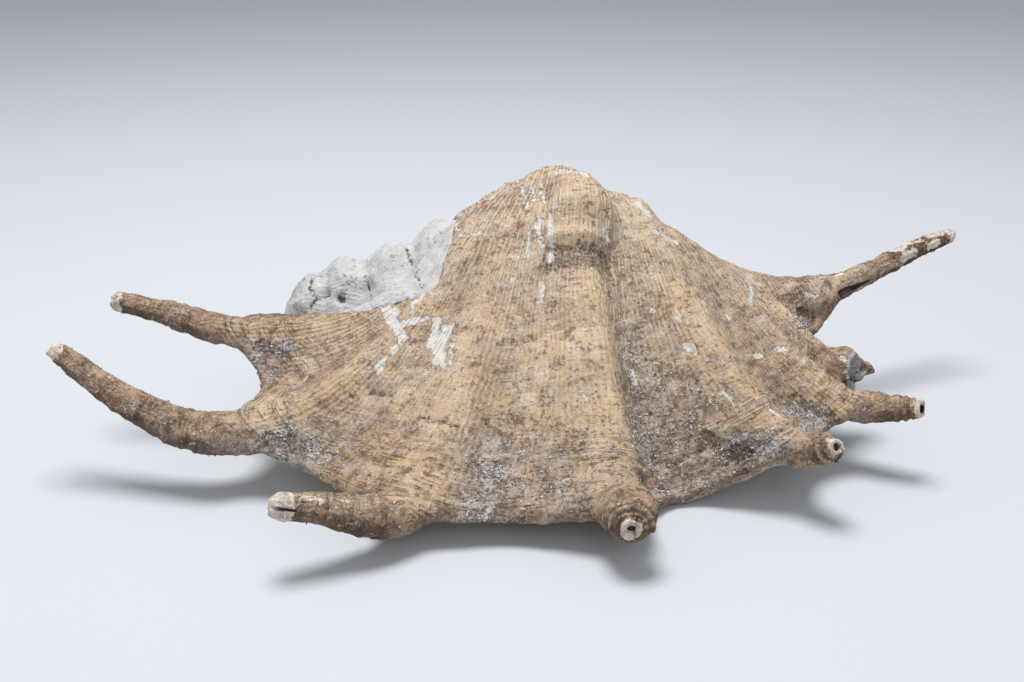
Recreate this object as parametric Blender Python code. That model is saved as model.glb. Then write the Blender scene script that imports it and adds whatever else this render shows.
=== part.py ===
"""Giant spider conch shell, resting on its aperture.

Blender 4.5. Metres, +Z up. +X runs from the spire to the siphonal canal, -Y towards the flared lip.
The shape is laid out in millimetres about the coiling axis and moved at the end, so that the origin
is under the middle of the shell, on the surface that it rests on.
"""

import math

import bmesh
import bpy
import numpy as np
from mathutils import Matrix, Vector

MM = 0.001

# The coiling axis: stations along X, then its height, and how far the last whorl reaches
# from it to the top, to the back and to the underside.
AXIS_Y = 18.0
STATION_X = (-34.0, -22.0, -8.0, 6.0, 20.0, 34.0, 48.0, 62.0, 76.0, 90.0, 106.0, 124.0)
AXIS_Z = (39.0, 41.0, 43.0, 44.5, 45.0, 44.0, 42.0, 40.0, 38.5, 38.0, 38.5, 42.0)
TOP_Z = (66.0, 71.5, 80.5, 86.5, 89.5, 84.0, 75.5, 66.3, 57.5, 51.5, 48.0, 47.0)
BACK_Y = (46.0, 51.0, 59.0, 63.0, 65.0, 61.0, 53.0, 45.0, 38.0, 33.0, 29.5, 27.0)
FOOT_Z = (3.0, 0.3, -0.4, -0.6, -0.6, -0.2, 2.0, 8.0, 15.0, 22.0, 29.0, 36.5)

# Guide lines of the last whorl, from the spire round the lip to the canal. Each leaves the
# dorsal ridge at the first number, bends at a plan point and ends at a point of the lip's edge.
GUIDES = {
    "margin on the spire": (-22.0, (-30.0, -14.0), (-90.0, -8.0, 45.0)),
    "first digit": (-15.0, (-34.0, -24.0), (-101.0, -16.0, 41.0)),
    "first web": (-8.0, (-34.0, -34.0), (-85.5, -36.0, 29.0)),
    "second digit": (-2.0, (-30.0, -42.0), (-90.0, -58.5, 22.0)),
    "second web": (4.0, (-20.0, -48.0), (-61.0, -74.0, 13.5)),
    "third digit": (10.0, (-6.0, -45.0), (-31.0, -93.5, 12.0)),
    "front edge": (17.0, (8.0, -45.0), (4.0, -94.5, 10.5)),
    "fourth digit": (24.0, (26.0, -42.0), (34.0, -96.0, 13.5)),
    "contact edge": (33.0, (43.0, -38.0), (54.0, -72.0, 2.3)),
    "fifth digit": (42.0, (58.0, -35.0), (90.0, -71.5, 19.0)),
    "fifth web": (52.0, (72.0, -26.0), (102.0, -55.0, 20.0)),
    "sixth digit": (62.0, (84.0, -18.0), (117.0, -43.5, 24.0)),
    "sixth web": (72.0, (92.0, -8.0), (113.0, -33.0, 27.0)),
    "seventh digit": (82.0, (98.0, -2.0), (115.0, -23.0, 30.5)),
    "notch": (94.0, (101.0, 8.0), (105.0, -7.0, 32.5)),
    "flange": (108.0, (113.0, 15.0), (116.0, 7.0, 33.0)),
    "canal root": (120.0, (124.0, 19.0), (125.0, 17.0, 40.0)),
}
LAST_LINE = len(GUIDES) - 1

# How the height falls from the ridge to the edge, as a share of the drop that is left, and
# how much sooner it falls beside the spire. On the back, the margin on the spire slants by SLANT.
FALL_AT = (0.0, 0.1, 0.2, 0.3, 0.4, 0.55, 0.7, 0.85, 1.0)
FALL_LEFT = (1.0, 0.985, 0.93, 0.81, 0.66, 0.46, 0.28, 0.12, 0.0)
FALL_LINE = (0.0, 2.0, 4.0, 6.0, 16.0)
FALL_POWER = (2.4, 1.7, 1.15, 1.0, 1.0)
SLANT = 9.0

# The wall's thickness on the way from the foot to the lip's edge.
THICK_AT = (-1.2, 0.0, 0.35, 0.55, 0.72, 0.86, 0.94, 1.0)
THICK = (6.0, 5.5, 5.5, 8.0, 10.0, 9.0, 6.5, 4.5)
THIN_END_SHARE = 0.6

# The wall's grid: rows from the spire to the canal, and columns from just past the foot to the edge.
WALL_ROWS = 145
WALL_COLUMNS = 107
WALL_START = -1.12

# Ribs on the lip: guide line, height, and width in guide lines towards the spire and the canal.
RIBS = (
    (1, 3.2, 0.5, 0.7),
    (3, 4.2, 0.8, 0.42),
    (5, 4.8, 0.95, 0.38),
    (7, 5.6, 0.9, 0.38),
    (9, 4.6, 0.5, 0.5),
    (11, 3.4, 0.5, 0.45),
    (13, 3.0, 0.45, 0.5),
)
RIB_AT = (0.16, 0.32, 0.55, 0.8, 0.95, 1.0)
RIB_SHARE = (0.0, 0.45, 0.85, 1.0, 1.0, 1.0)

# Knobs of the shoulder: guide line, place along it, height, half width in guide lines, and
# how far they run up and down it. The first one is the ledge over the fourth rib.
KNOBS = (
    (7.0, 0.20, 6.5, 0.85, 0.15, 0.045),
    (5.6, -0.02, 1.8, 0.9, 0.09, 0.09),
    (4.4, 0.02, 1.8, 0.5, 0.06, 0.06),
    (9.2, 0.10, 2.6, 0.5, 0.06, 0.05),
    (8.8, -0.03, 1.8, 0.4, 0.06, 0.06),
    (6.6, -0.28, 4.0, 1.4, 0.12, 0.1),
    (6.2, -0.54, 4.0, 1.4, 0.12, 0.1),
    (9.6, -0.26, 2.2, 0.7, 0.07, 0.07),
)

# The core is the spire's cone and, inside the last whorl, the earlier whorl and the columella,
# as a share of the last whorl's reach. CORE_FOOT_DIP gives how steeply down, as sines of the
# angle, a ring's point starts to fill out to the foot and has reached it.
CORE_X = (-88.0, -85.0, -80.0, -66.0, -47.0, -28.0, -20.0, -8.0, 5.0, 30.0, 50.0, 75.0, 100.0, 124.0)
CORE_SHARE = (0.45, 0.8, 1.0, 1.0, 1.0, 1.0, 0.97, 0.8, 0.62, 0.58, 0.6, 0.74, 0.86, 0.9)
CORE_FRONT_SHARE = 0.9
CORE_FOOT_DIP = (0.3, 0.85)
CORE_RINGS = 110
CORE_AROUND = 72
SPIRE_X = (-88.0, -34.0)
SPIRE_RADIUS = (10.5, 27.0)
SPIRE_AXIS_Z = (32.5, 38.5)

# The spire's whorls, in shares of its radius and of the way from one suture to the next. The
# sutures are given on the ridge. The relief dies away where the last whorl covers the spire.
SUTURE_X = (-103.0, -88.0, -73.0, -57.5, -38.0, -20.0, 0.0)
WHORL_SWELL = 0.17
WHORL_MIDDLE = 0.55
WHORL_FULLNESS = 0.7
SUTURE_DEPTH = 1.08
SPIRE_KNOBS = 7
KNOB_SWELL = 0.05
KNOB_TURN = 2.1
SHOULDER_AT = 0.62
SHOULDER_WIDTH = 0.22
SPIRE_RELIEF_X = (-24.0, -16.0)

# The digits outside the lip: guide line, then x, y, z and radius along the centre line.
DIGITS = {
    "first digit": (1, (
        (-109.0, -15.5, 42.0, 5.6),
        (-119.0, -14.5, 45.2, 4.8),
        (-131.0, -13.0, 48.2, 4.3),
        (-142.0, -12.0, 50.5, 3.9),
    )),
    "second digit": (3, (
        (-98.0, -60.0, 21.2, 7.2),
        (-108.0, -59.0, 22.8, 6.6),
        (-118.0, -57.0, 26.2, 6.1),
        (-129.0, -54.0, 31.0, 5.4),
        (-141.0, -50.5, 38.7, 4.5),
        (-152.0, -48.0, 46.5, 3.5),
    )),
    "third digit": (5, (
        (-38.0, -98.0, 12.0, 6.8),
        (-48.0, -103.5, 16.4, 5.9),
        (-58.0, -108.0, 20.8, 5.0),
        (-69.0, -112.0, 23.5, 3.9),
    )),
    "fourth digit": (7, (
        (34.5, -102.0, 15.8, 8.1),
        (35.5, -110.5, 18.9, 7.1),
    )),
    "fifth digit": (9, (
        (95.0, -76.5, 23.5, 5.8),
        (100.5, -81.5, 27.3, 4.7),
    )),
    "sixth digit": (11, (
        (123.0, -46.3, 24.3, 5.3),
        (129.0, -49.0, 25.0, 4.6),
        (137.0, -52.0, 26.5, 3.7),
    )),
    "seventh digit": (13, (
        (119.5, -25.0, 29.3, 8.2),
    )),
}
ROOT_AT = (0.78, 0.88, 0.96)
ROOT_SWELL = (0.0, 0.4, 0.8)
CANAL = (
    (104.0, 18.0, 40.0, 9.0),
    (116.0, 19.5, 41.5, 7.4),
    (126.0, 22.0, 43.5, 5.6),
    (139.0, 28.0, 47.5, 4.7),
    (157.0, 38.0, 52.3, 4.1),
    (176.0, 48.0, 56.8, 3.5),
)
ROUND_END_SHARE = 0.5
ROUND_END_AT = (0.45, 0.8, 0.97)
RINGS_PER_SPAN = 4
SIDES = 14

# Bores of the worn tips: start and end of the bore, and its radius.
BORES = (
    ((-139.5, -13.5, 50.8), (-146.0, -10.5, 51.8), 1.5),
    ((-147.0, -50.0, 43.0), (-155.0, -46.5, 48.7), 1.2),
    ((34.5, -105.0, 17.5), (35.0, -117.0, 20.0), 1.5),
    ((94.0, -77.5, 24.0), (103.5, -85.0, 30.0), 1.4),
    ((130.0, -50.0, 25.3), (141.0, -54.0, 27.2), 1.2),
    ((168.0, 44.2, 55.0), (180.0, 50.5, 57.8), 1.1),
)

# The broken seventh digit: its open bore with x, y, z and radius, and the shard on its far side.
BREAK_BORE = (
    (112.0, -21.5, 30.5, 2.6),
    (117.0, -24.2, 29.8, 4.4),
    (122.0, -27.0, 29.0, 5.7),
    (128.0, -30.0, 28.0, 6.4),
)
SHARD = (
    (112.0, -17.5, 29.5, 2.4),
    (121.0, -18.5, 27.5, 2.6),
    (126.0, -18.5, 26.3, 1.9),
    (131.0, -18.3, 25.5, 0.9),
)

# Seams where a tube did not close: the third digit's tip, and the front of the canal's root.
SEAM_THIRD = ((-76.0, -115.5, 26.8, 1.0), (-71.0, -115.2, 25.5, 1.0), (-63.0, -113.8, 23.0, 0.5))
SEAM_CANAL = ((124.0, 15.0, 41.5, 1.6), (132.0, 19.6, 43.6, 1.5), (140.0, 23.6, 46.2, 0.8))

# The fused body: its grid, its softening, and the triangles that are left before the openings.
VOXEL = 1.6
SOFTEN_STEPS = 6
SOFTEN_FACTOR = 0.5
TRIANGLES = 7900

GROUND_SIZE = (400.0, 300.0, 20.0)

SHELL_COLOUR = (0.36, 0.22, 0.115, 1.0)
SHELL_ROUGHNESS = 0.82


def spline(knots, values, at):
    """A smooth curve through values at knots, read at the places at."""
    knots = np.asarray(knots, float)
    values = np.asarray(values, float)
    at = np.asarray(at, float)
    slopes = np.gradient(values, knots, axis=0)
    i = np.clip(np.searchsorted(knots, at, side="right") - 1, 0, len(knots) - 2)
    step = knots[i + 1] - knots[i]
    u = (at - knots[i]) / step
    if values.ndim > 1:
        step = step[..., None]
        u = u[..., None]
    u2 = u * u
    u3 = u2 * u
    start = (2 * u3 - 3 * u2 + 1) * values[i] + (u3 - 2 * u2 + u) * step * slopes[i]
    end = (3 * u2 - 2 * u3) * values[i + 1] + (u3 - u2) * step * slopes[i + 1]
    return start + end


def unit(vectors):
    return vectors / np.maximum(np.linalg.norm(vectors, axis=-1, keepdims=True), 1e-9)


def ease(u):
    """0 to 1 with a level start and end."""
    u = np.clip(u, 0, 1)
    return u * u * (3 - 2 * u)


def ring_point(x, angle):
    """A point of the last whorl's round part: 90 degrees is the top, 0 the back, -90 the foot."""
    axis_z = spline(STATION_X, AXIS_Z, x)
    top = spline(STATION_X, TOP_Z, x) - axis_z
    foot = axis_z - spline(STATION_X, FOOT_Z, x)
    back = spline(STATION_X, BACK_Y, x) - AXIS_Y
    rise = np.sin(angle)
    y = AXIS_Y + back * np.cos(angle)
    z = axis_z + np.where(rise > 0, top, foot) * rise
    return np.stack([x, y, z], axis=-1)


def smooth_wall(line, t):
    """The last whorl without relief. t is -1 at the foot, 0 on the ridge and 1 at the lip's edge."""
    lines = np.arange(len(GUIDES))
    guides = list(GUIDES.values())
    ridge_x = spline(lines, [g[0] for g in guides], line)
    bend = spline(lines, [g[1] for g in guides], line)
    edge = spline(lines, [g[2] for g in guides], line)
    ridge = ring_point(ridge_x, np.full_like(ridge_x, math.pi / 2))
    u = np.clip(t, 0, 1)
    left = spline(FALL_AT, FALL_LEFT, u) ** np.interp(line, FALL_LINE, FALL_POWER)
    height = edge[..., 2] + (ridge[..., 2] - edge[..., 2]) * left
    u = u[..., None]
    plan = (1 - u) ** 2 * ridge[..., :2] + 2 * u * (1 - u) * bend + u**2 * edge[..., :2]
    lip = np.concatenate([plan, height[..., None]], axis=-1)
    behind = np.minimum(t, 0)
    coil_x = ridge_x + SLANT * behind * np.interp(line, (0, 6), (1, 0))
    coil = ring_point(coil_x, math.pi / 2 + math.pi * behind)
    return np.where((t > 0)[..., None], lip, coil)


def wall_normal(line, t):
    """The unit normal of the smooth wall, pointing outwards."""
    step = 0.02
    before = smooth_wall(np.maximum(line - step, 0), t)
    along = smooth_wall(np.minimum(line + step, LAST_LINE), t) - before
    down = smooth_wall(line, np.minimum(t + step, 1)) - smooth_wall(line, t - step)
    return unit(np.cross(down, along))


def relief(line, t):
    """How far the ribs and knobs stand out of the smooth wall."""
    out = np.zeros_like(line)
    for centre, height, left, right in RIBS:
        width = np.where(line < centre, left, right)
        share = np.interp(t, RIB_AT, RIB_SHARE)
        out += height * share * np.exp(-(((line - centre) / width) ** 2))
    for centre, place, height, half, up, down in KNOBS:
        length = np.where(t < place, up, down)
        away = ((line - centre) / half) ** 4 + ((t - place) / length) ** 2
        out += height * np.exp(-away)
    return out


def thickness(line, t):
    near_end = np.minimum(line, LAST_LINE - line)
    return np.interp(t, THICK_AT, THICK) * np.interp(near_end, (0, 2), (THIN_END_SHARE, 1))


def new_object(name, points, faces):
    mesh = bpy.data.meshes.new(name)
    mesh.from_pydata([tuple(p) for p in np.asarray(points) * MM], [], faces)
    obj = bpy.data.objects.new(name, mesh)
    bpy.context.scene.collection.objects.link(obj)
    work = bmesh.new()
    work.from_mesh(mesh)
    bmesh.ops.recalc_face_normals(work, faces=work.faces)
    work.to_mesh(mesh)
    work.free()
    return obj


def ring_faces(rings, around):
    faces = []
    for r in range(rings - 1):
        for c in range(around):
            after = (c + 1) % around
            low = r * around
            faces.append((low + c, low + after, low + around + after, low + around + c))
    return faces


def wall():
    """The last whorl with its flared lip: a closed slab between its outer and inner faces."""
    rows = WALL_ROWS
    columns = WALL_COLUMNS
    lines, ts = np.meshgrid(
        np.linspace(0, LAST_LINE, rows), np.linspace(WALL_START, 1, columns), indexing="ij"
    )
    smooth = smooth_wall(lines, ts)
    normal = wall_normal(lines, ts)
    thick = thickness(lines, ts)[..., None]
    outside = smooth + normal * relief(lines, ts)[..., None]
    inside = smooth - normal * thick
    out_of_lip = unit(smooth[:, -1] - smooth[:, -2])
    rim = (outside[:, -1] + inside[:, -1]) / 2 + out_of_lip * thick[:, -1] / 2
    loop = np.concatenate([outside, rim[:, None], inside[:, ::-1]], axis=1)
    around = loop.shape[1]
    faces = ring_faces(rows, around)
    for end in (0, rows - 1):
        first = end * around
        for c in range(columns - 1):
            faces.append((first + c, first + c + 1, first + around - 2 - c, first + around - 1 - c))
        faces.append((first + columns - 1, first + columns, first + columns + 1))
    return new_object("wall", loop.reshape(-1, 3), faces)


def core():
    """Spire and columella: rings about the axis, swelling at each whorl and knob of the spire."""
    rings = CORE_RINGS
    around = CORE_AROUND
    x, angle = np.meshgrid(
        np.linspace(CORE_X[0], CORE_X[-1], rings),
        np.linspace(0, 2 * math.pi, around, endpoint=False),
        indexing="ij",
    )
    body_x = np.maximum(x, STATION_X[0])
    axis_z = spline(STATION_X, AXIS_Z, body_x)
    reach = ring_point(body_x, angle) - np.stack([body_x, np.full_like(x, AXIS_Y), axis_z], axis=-1)
    reach[..., 1] *= np.where(np.cos(angle) < 0, CORE_FRONT_SHARE, 1.0)
    share = spline(CORE_X, CORE_SHARE, x)
    low = ease(np.interp(-np.sin(angle), CORE_FOOT_DIP, (0, 1)))
    share = share + (1 - share) * low * (x > SPIRE_X[1])
    taper = np.interp(x, SPIRE_X, (SPIRE_RADIUS[0] / SPIRE_RADIUS[1], 1.0))
    turn = np.interp(x, SUTURE_X, np.arange(len(SUTURE_X))) - (angle - math.pi / 2) / (2 * math.pi)
    within = turn - np.floor(turn)
    arch = np.sin(math.pi * np.clip(within * SUTURE_DEPTH, 0, 1)) ** WHORL_FULLNESS
    shoulder = np.exp(-(((within - SHOULDER_AT) / SHOULDER_WIDTH) ** 2))
    knob = shoulder * np.cos(SPIRE_KNOBS * angle + KNOB_TURN * np.floor(turn))
    swell = WHORL_SWELL * (arch - WHORL_MIDDLE) + KNOB_SWELL * knob
    scale = taper * share * (1 + swell * np.interp(x, SPIRE_RELIEF_X, (1, 0)))
    centre_z = np.where(x < SPIRE_X[1], np.interp(x, SPIRE_X, SPIRE_AXIS_Z), axis_z)
    y = AXIS_Y + reach[..., 1] * scale
    z = centre_z + reach[..., 2] * scale
    faces = ring_faces(rings, around)
    faces.append(tuple(range(around)))
    faces.append(tuple(range((rings - 1) * around, rings * around)))
    return new_object("core", np.stack([x, y, z], axis=-1).reshape(-1, 3), faces)


def tube(name, path):
    """A closed tube with a rounded far end, through rows of centre and radius."""
    path = np.asarray(path, float)
    at = np.linspace(0, len(path) - 1, RINGS_PER_SPAN * (len(path) - 1) + 1)
    line = spline(np.arange(len(path)), path, at)
    centre = line[:, :3]
    radius = line[:, 3]
    tangent = unit(np.gradient(centre, axis=0))
    for turn in ROUND_END_AT:
        centre = np.vstack([centre, line[-1, :3] + tangent[-1] * line[-1, 3] * ROUND_END_SHARE * turn])
        tangent = np.vstack([tangent, tangent[-1]])
        radius = np.append(radius, line[-1, 3] * math.sqrt(1 - turn**2))
    side = unit(np.cross(tangent[0], (0.0, 0.0, 1.0)))
    angles = np.linspace(0, 2 * math.pi, SIDES, endpoint=False)
    rings = []
    for c, d, r in zip(centre, tangent, radius):
        side = unit(side - d * (side @ d))
        up = np.cross(side, d)
        rings.append(c + r * (np.outer(np.cos(angles), side) + np.outer(np.sin(angles), up)))
    faces = ring_faces(len(rings), SIDES)
    faces.append(tuple(range(SIDES)))
    faces.append(tuple(range((len(rings) - 1) * SIDES, len(rings) * SIDES)))
    return new_object(name, np.concatenate(rings), faces)


def digit(name, guide, outer):
    """A digit that leaves the wall inside its rib and runs on outside the lip."""
    at = np.array(ROOT_AT)
    line = np.full_like(at, float(guide))
    lift = relief(line, at)
    half = (thickness(line, at) + lift) / 2
    radius = half + (outer[0][3] - half) * np.array(ROOT_SWELL)
    root = smooth_wall(line, at) + wall_normal(line, at) * (lift - radius)[:, None]
    return tube(name, np.vstack([np.column_stack([root, radius]), outer]))


def bore(start, end, radius):
    return tube("bore", [(*start, radius), (*end, radius)])


def joined(objects, name):
    work = bmesh.new()
    for obj in objects:
        work.from_mesh(obj.data)
        bpy.data.objects.remove(obj)
    mesh = bpy.data.meshes.new(name)
    work.to_mesh(mesh)
    work.free()
    obj = bpy.data.objects.new(name, mesh)
    bpy.context.scene.collection.objects.link(obj)
    return obj


def apply_modifiers(obj):
    bpy.context.view_layer.update()
    mesh = bpy.data.meshes.new_from_object(obj.evaluated_get(bpy.context.evaluated_depsgraph_get()))
    obj.modifiers.clear()
    obj.data = mesh


def keep_largest_body(obj):
    """Deletes any closed skin that the fusing left inside."""
    work = bmesh.new()
    work.from_mesh(obj.data)
    left = set(work.verts)
    bodies = []
    while left:
        stack = [left.pop()]
        body = list(stack)
        while stack:
            for edge in stack.pop().link_edges:
                for vert in edge.verts:
                    if vert in left:
                        left.remove(vert)
                        stack.append(vert)
                        body.append(vert)
        bodies.append(body)
    bodies.sort(key=len)
    for body in bodies[:-1]:
        bmesh.ops.delete(work, geom=body, context="VERTS")
    work.to_mesh(obj.data)
    work.free()


def cut(obj, cutter):
    boolean = obj.modifiers.new("cut", "BOOLEAN")
    boolean.operation = "DIFFERENCE"
    boolean.solver = "EXACT"
    boolean.object = cutter
    apply_modifiers(obj)
    bpy.data.objects.remove(cutter)


def ground_block():
    """A block whose top is the surface that the shell rests on."""
    bpy.ops.mesh.primitive_cube_add(size=1)
    block = bpy.context.active_object
    centre = Vector((0, 0, -GROUND_SIZE[2] / 2))
    block.data.transform(Matrix.LocRotScale(centre * MM, None, Vector(GROUND_SIZE) * MM))
    return block


def main():
    for obj in list(bpy.data.objects):
        bpy.data.objects.remove(obj)

    pieces = [wall(), core(), tube("canal", CANAL), tube("shard", SHARD)]
    pieces += [digit(name, guide, outer) for name, (guide, outer) in DIGITS.items()]
    shell = joined(pieces, "shell")

    # Fused into one body, softened and made light.
    fuse = shell.modifiers.new("fuse", "REMESH")
    fuse.mode = "VOXEL"
    fuse.voxel_size = VOXEL * MM
    soften = shell.modifiers.new("soften", "SMOOTH")
    soften.factor = SOFTEN_FACTOR
    soften.iterations = SOFTEN_STEPS
    apply_modifiers(shell)
    keep_largest_body(shell)
    lighten = shell.modifiers.new("lighten", "DECIMATE")
    lighten.ratio = TRIANGLES / (2 * len(shell.data.polygons))
    apply_modifiers(shell)

    # Openings, then the flats that it rests on.
    openings = [bore(*row) for row in BORES]
    openings += [tube("seam", SEAM_THIRD), tube("seam", SEAM_CANAL), tube("broken bore", BREAK_BORE)]
    cut(shell, joined(openings, "openings"))
    cut(shell, ground_block())
    keep_largest_body(shell)

    points = np.array([v.co for v in shell.data.vertices])
    low = points.min(axis=0)
    middle = (low + points.max(axis=0)) / 2
    shell.data.transform(Matrix.Translation((-middle[0], -middle[1], -low[2])))

    material = bpy.data.materials.new("periostracum")
    material.use_nodes = True
    surface = material.node_tree.nodes["Principled BSDF"]
    surface.inputs["Base Color"].default_value = SHELL_COLOUR
    surface.inputs["Roughness"].default_value = SHELL_ROUGHNESS
    surface.inputs["Metallic"].default_value = 0.0
    shell.data.materials.clear()
    shell.data.materials.append(material)
    shell.data.shade_smooth()


main()
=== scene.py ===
import math

import bmesh
import bpy
import numpy as np
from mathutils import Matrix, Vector, noise
from mathutils.kdtree import KDTree


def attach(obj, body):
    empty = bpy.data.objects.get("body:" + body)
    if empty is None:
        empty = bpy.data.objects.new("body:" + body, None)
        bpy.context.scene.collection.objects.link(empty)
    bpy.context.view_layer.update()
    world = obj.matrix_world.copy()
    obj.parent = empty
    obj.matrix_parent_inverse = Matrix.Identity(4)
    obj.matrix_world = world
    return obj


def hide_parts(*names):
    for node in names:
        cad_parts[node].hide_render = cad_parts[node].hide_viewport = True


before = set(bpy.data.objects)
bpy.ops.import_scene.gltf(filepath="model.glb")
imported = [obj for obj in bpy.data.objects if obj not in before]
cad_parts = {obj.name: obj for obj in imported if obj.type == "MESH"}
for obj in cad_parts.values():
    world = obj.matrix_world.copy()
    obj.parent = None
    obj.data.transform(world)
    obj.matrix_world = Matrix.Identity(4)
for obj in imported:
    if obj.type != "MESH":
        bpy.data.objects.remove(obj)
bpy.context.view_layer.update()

# The last whorl with its flared lip.
# One sheet of shell that the animal laid down round the coiling axis and spread into a lip, with
# ribs running out to the digits. It is drawn in millimetres, as a slab between two grids of points.
MM = 0.001
AXIS_Y = 18.0
STATION_X = (-34.0, -22.0, -8.0, 6.0, 20.0, 34.0, 48.0, 62.0, 76.0, 90.0, 106.0, 124.0)
AXIS_Z = (39.0, 41.0, 43.0, 44.5, 45.0, 44.0, 42.0, 40.0, 38.5, 38.0, 38.5, 42.0)
TOP_Z = (66.0, 71.5, 80.5, 86.5, 89.5, 84.0, 75.5, 66.3, 57.5, 51.5, 48.0, 47.0)
BACK_Y = (46.0, 51.0, 59.0, 63.0, 65.0, 61.0, 53.0, 45.0, 38.0, 33.0, 29.5, 27.0)
FOOT_Z = (3.0, 0.3, -0.4, -0.6, -0.6, -0.2, 2.0, 8.0, 15.0, 22.0, 29.0, 36.5)
# Each guide line: the x where it leaves the ridge, the x and y towards which it bends, and the x, y
# and z where it ends on the lip's edge.
GUIDES = {
    "margin on the spire": (-22.0, (-30.0, -14.0), (-90.0, -8.0, 45.0)),
    "first digit": (-15.0, (-34.0, -24.0), (-101.0, -16.0, 41.0)),
    "first web": (-8.0, (-34.0, -34.0), (-85.5, -36.0, 29.0)),
    "second digit": (-2.0, (-30.0, -42.0), (-90.0, -58.5, 22.0)),
    "second web": (4.0, (-20.0, -48.0), (-61.0, -74.0, 13.5)),
    "third digit": (10.0, (-6.0, -45.0), (-31.0, -93.5, 12.0)),
    "front edge": (17.0, (8.0, -45.0), (4.0, -94.5, 10.5)),
    "fourth digit": (24.0, (26.0, -42.0), (34.0, -96.0, 13.5)),
    "contact edge": (33.0, (43.0, -38.0), (54.0, -72.0, 2.3)),
    "fifth digit": (42.0, (58.0, -35.0), (90.0, -71.5, 19.0)),
    "fifth web": (52.0, (72.0, -26.0), (102.0, -55.0, 20.0)),
    "sixth digit": (62.0, (84.0, -18.0), (117.0, -43.5, 24.0)),
    "sixth web": (72.0, (92.0, -8.0), (113.0, -33.0, 27.0)),
    "seventh digit": (82.0, (98.0, -2.0), (115.0, -23.0, 30.5)),
    "notch": (94.0, (101.0, 8.0), (105.0, -7.0, 32.5)),
    "flange": (108.0, (113.0, 15.0), (116.0, 7.0, 33.0)),
    "canal root": (120.0, (124.0, 19.0), (125.0, 17.0, 40.0)),
}
LAST_LINE = len(GUIDES) - 1
FALL_AT = (0.0, 0.1, 0.2, 0.3, 0.4, 0.55, 0.7, 0.85, 1.0)
FALL_LEFT = (1.0, 0.985, 0.93, 0.81, 0.66, 0.46, 0.28, 0.12, 0.0)
FALL_LINE = (0.0, 2.0, 4.0, 6.0, 16.0)
FALL_POWER = (2.4, 1.7, 1.15, 1.0, 1.0)
SLANT = 9.0
THICK_AT = (-1.2, 0.0, 0.35, 0.55, 0.72, 0.86, 0.94, 1.0)
THICK = (6.0, 5.5, 5.5, 8.0, 10.0, 9.0, 6.5, 4.5)
THIN_END_SHARE = 0.6
WALL_ROWS = 145
WALL_COLUMNS = 107
WALL_START = -1.12
# Each rib: its line, its height, and its half width in lines on each side.
RIBS = (
    (1, 3.2, 0.5, 0.7),
    (3, 4.2, 0.8, 0.42),
    (5, 4.8, 0.95, 0.38),
    (7, 5.6, 0.9, 0.38),
    (9, 4.6, 0.5, 0.5),
    (11, 3.4, 0.5, 0.45),
    (13, 3.0, 0.45, 0.5),
)
RIB_AT = (0.16, 0.32, 0.55, 0.8, 0.95, 1.0)
RIB_SHARE = (0.0, 0.45, 0.85, 1.0, 1.0, 1.0)
# Each knob: line, place, height, half width in lines, and half length above and below.
KNOBS = (
    (7.0, 0.20, 6.5, 0.85, 0.15, 0.045),
    (5.6, -0.02, 1.8, 0.9, 0.09, 0.09),
    (4.4, 0.02, 1.8, 0.5, 0.06, 0.06),
    (9.2, 0.10, 2.6, 0.5, 0.06, 0.05),
    (8.8, -0.03, 1.8, 0.4, 0.06, 0.06),
    (6.6, -0.28, 4.0, 1.4, 0.12, 0.1),
    (6.2, -0.54, 4.0, 1.4, 0.12, 0.1),
    (9.6, -0.26, 2.2, 0.7, 0.07, 0.07),
)


def spline(knots, values, at):
    """A smooth curve through values at knots, read at the places at."""
    knots = np.asarray(knots, float)
    values = np.asarray(values, float)
    at = np.asarray(at, float)
    slopes = np.gradient(values, knots, axis=0)
    i = np.clip(np.searchsorted(knots, at, side="right") - 1, 0, len(knots) - 2)
    step = knots[i + 1] - knots[i]
    u = (at - knots[i]) / step
    if values.ndim > 1:
        step = step[..., None]
        u = u[..., None]
    u2 = u * u
    u3 = u2 * u
    start = (2 * u3 - 3 * u2 + 1) * values[i] + (u3 - 2 * u2 + u) * step * slopes[i]
    end = (3 * u2 - 2 * u3) * values[i + 1] + (u3 - u2) * step * slopes[i + 1]
    return start + end


def unit(vectors):
    return vectors / np.maximum(np.linalg.norm(vectors, axis=-1, keepdims=True), 1e-9)


def ease(u):
    """0 to 1 with a level start and end."""
    u = np.clip(u, 0, 1)
    return u * u * (3 - 2 * u)


def ring_point(x, angle):
    """A point of the whorl's round part: 90 degrees is the top, 0 the back, -90 the foot."""
    axis_z = spline(STATION_X, AXIS_Z, x)
    top = spline(STATION_X, TOP_Z, x) - axis_z
    foot = axis_z - spline(STATION_X, FOOT_Z, x)
    back = spline(STATION_X, BACK_Y, x) - AXIS_Y
    rise = np.sin(angle)
    y = AXIS_Y + back * np.cos(angle)
    z = axis_z + np.where(rise > 0, top, foot) * rise
    return np.stack([x, y, z], axis=-1)


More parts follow.
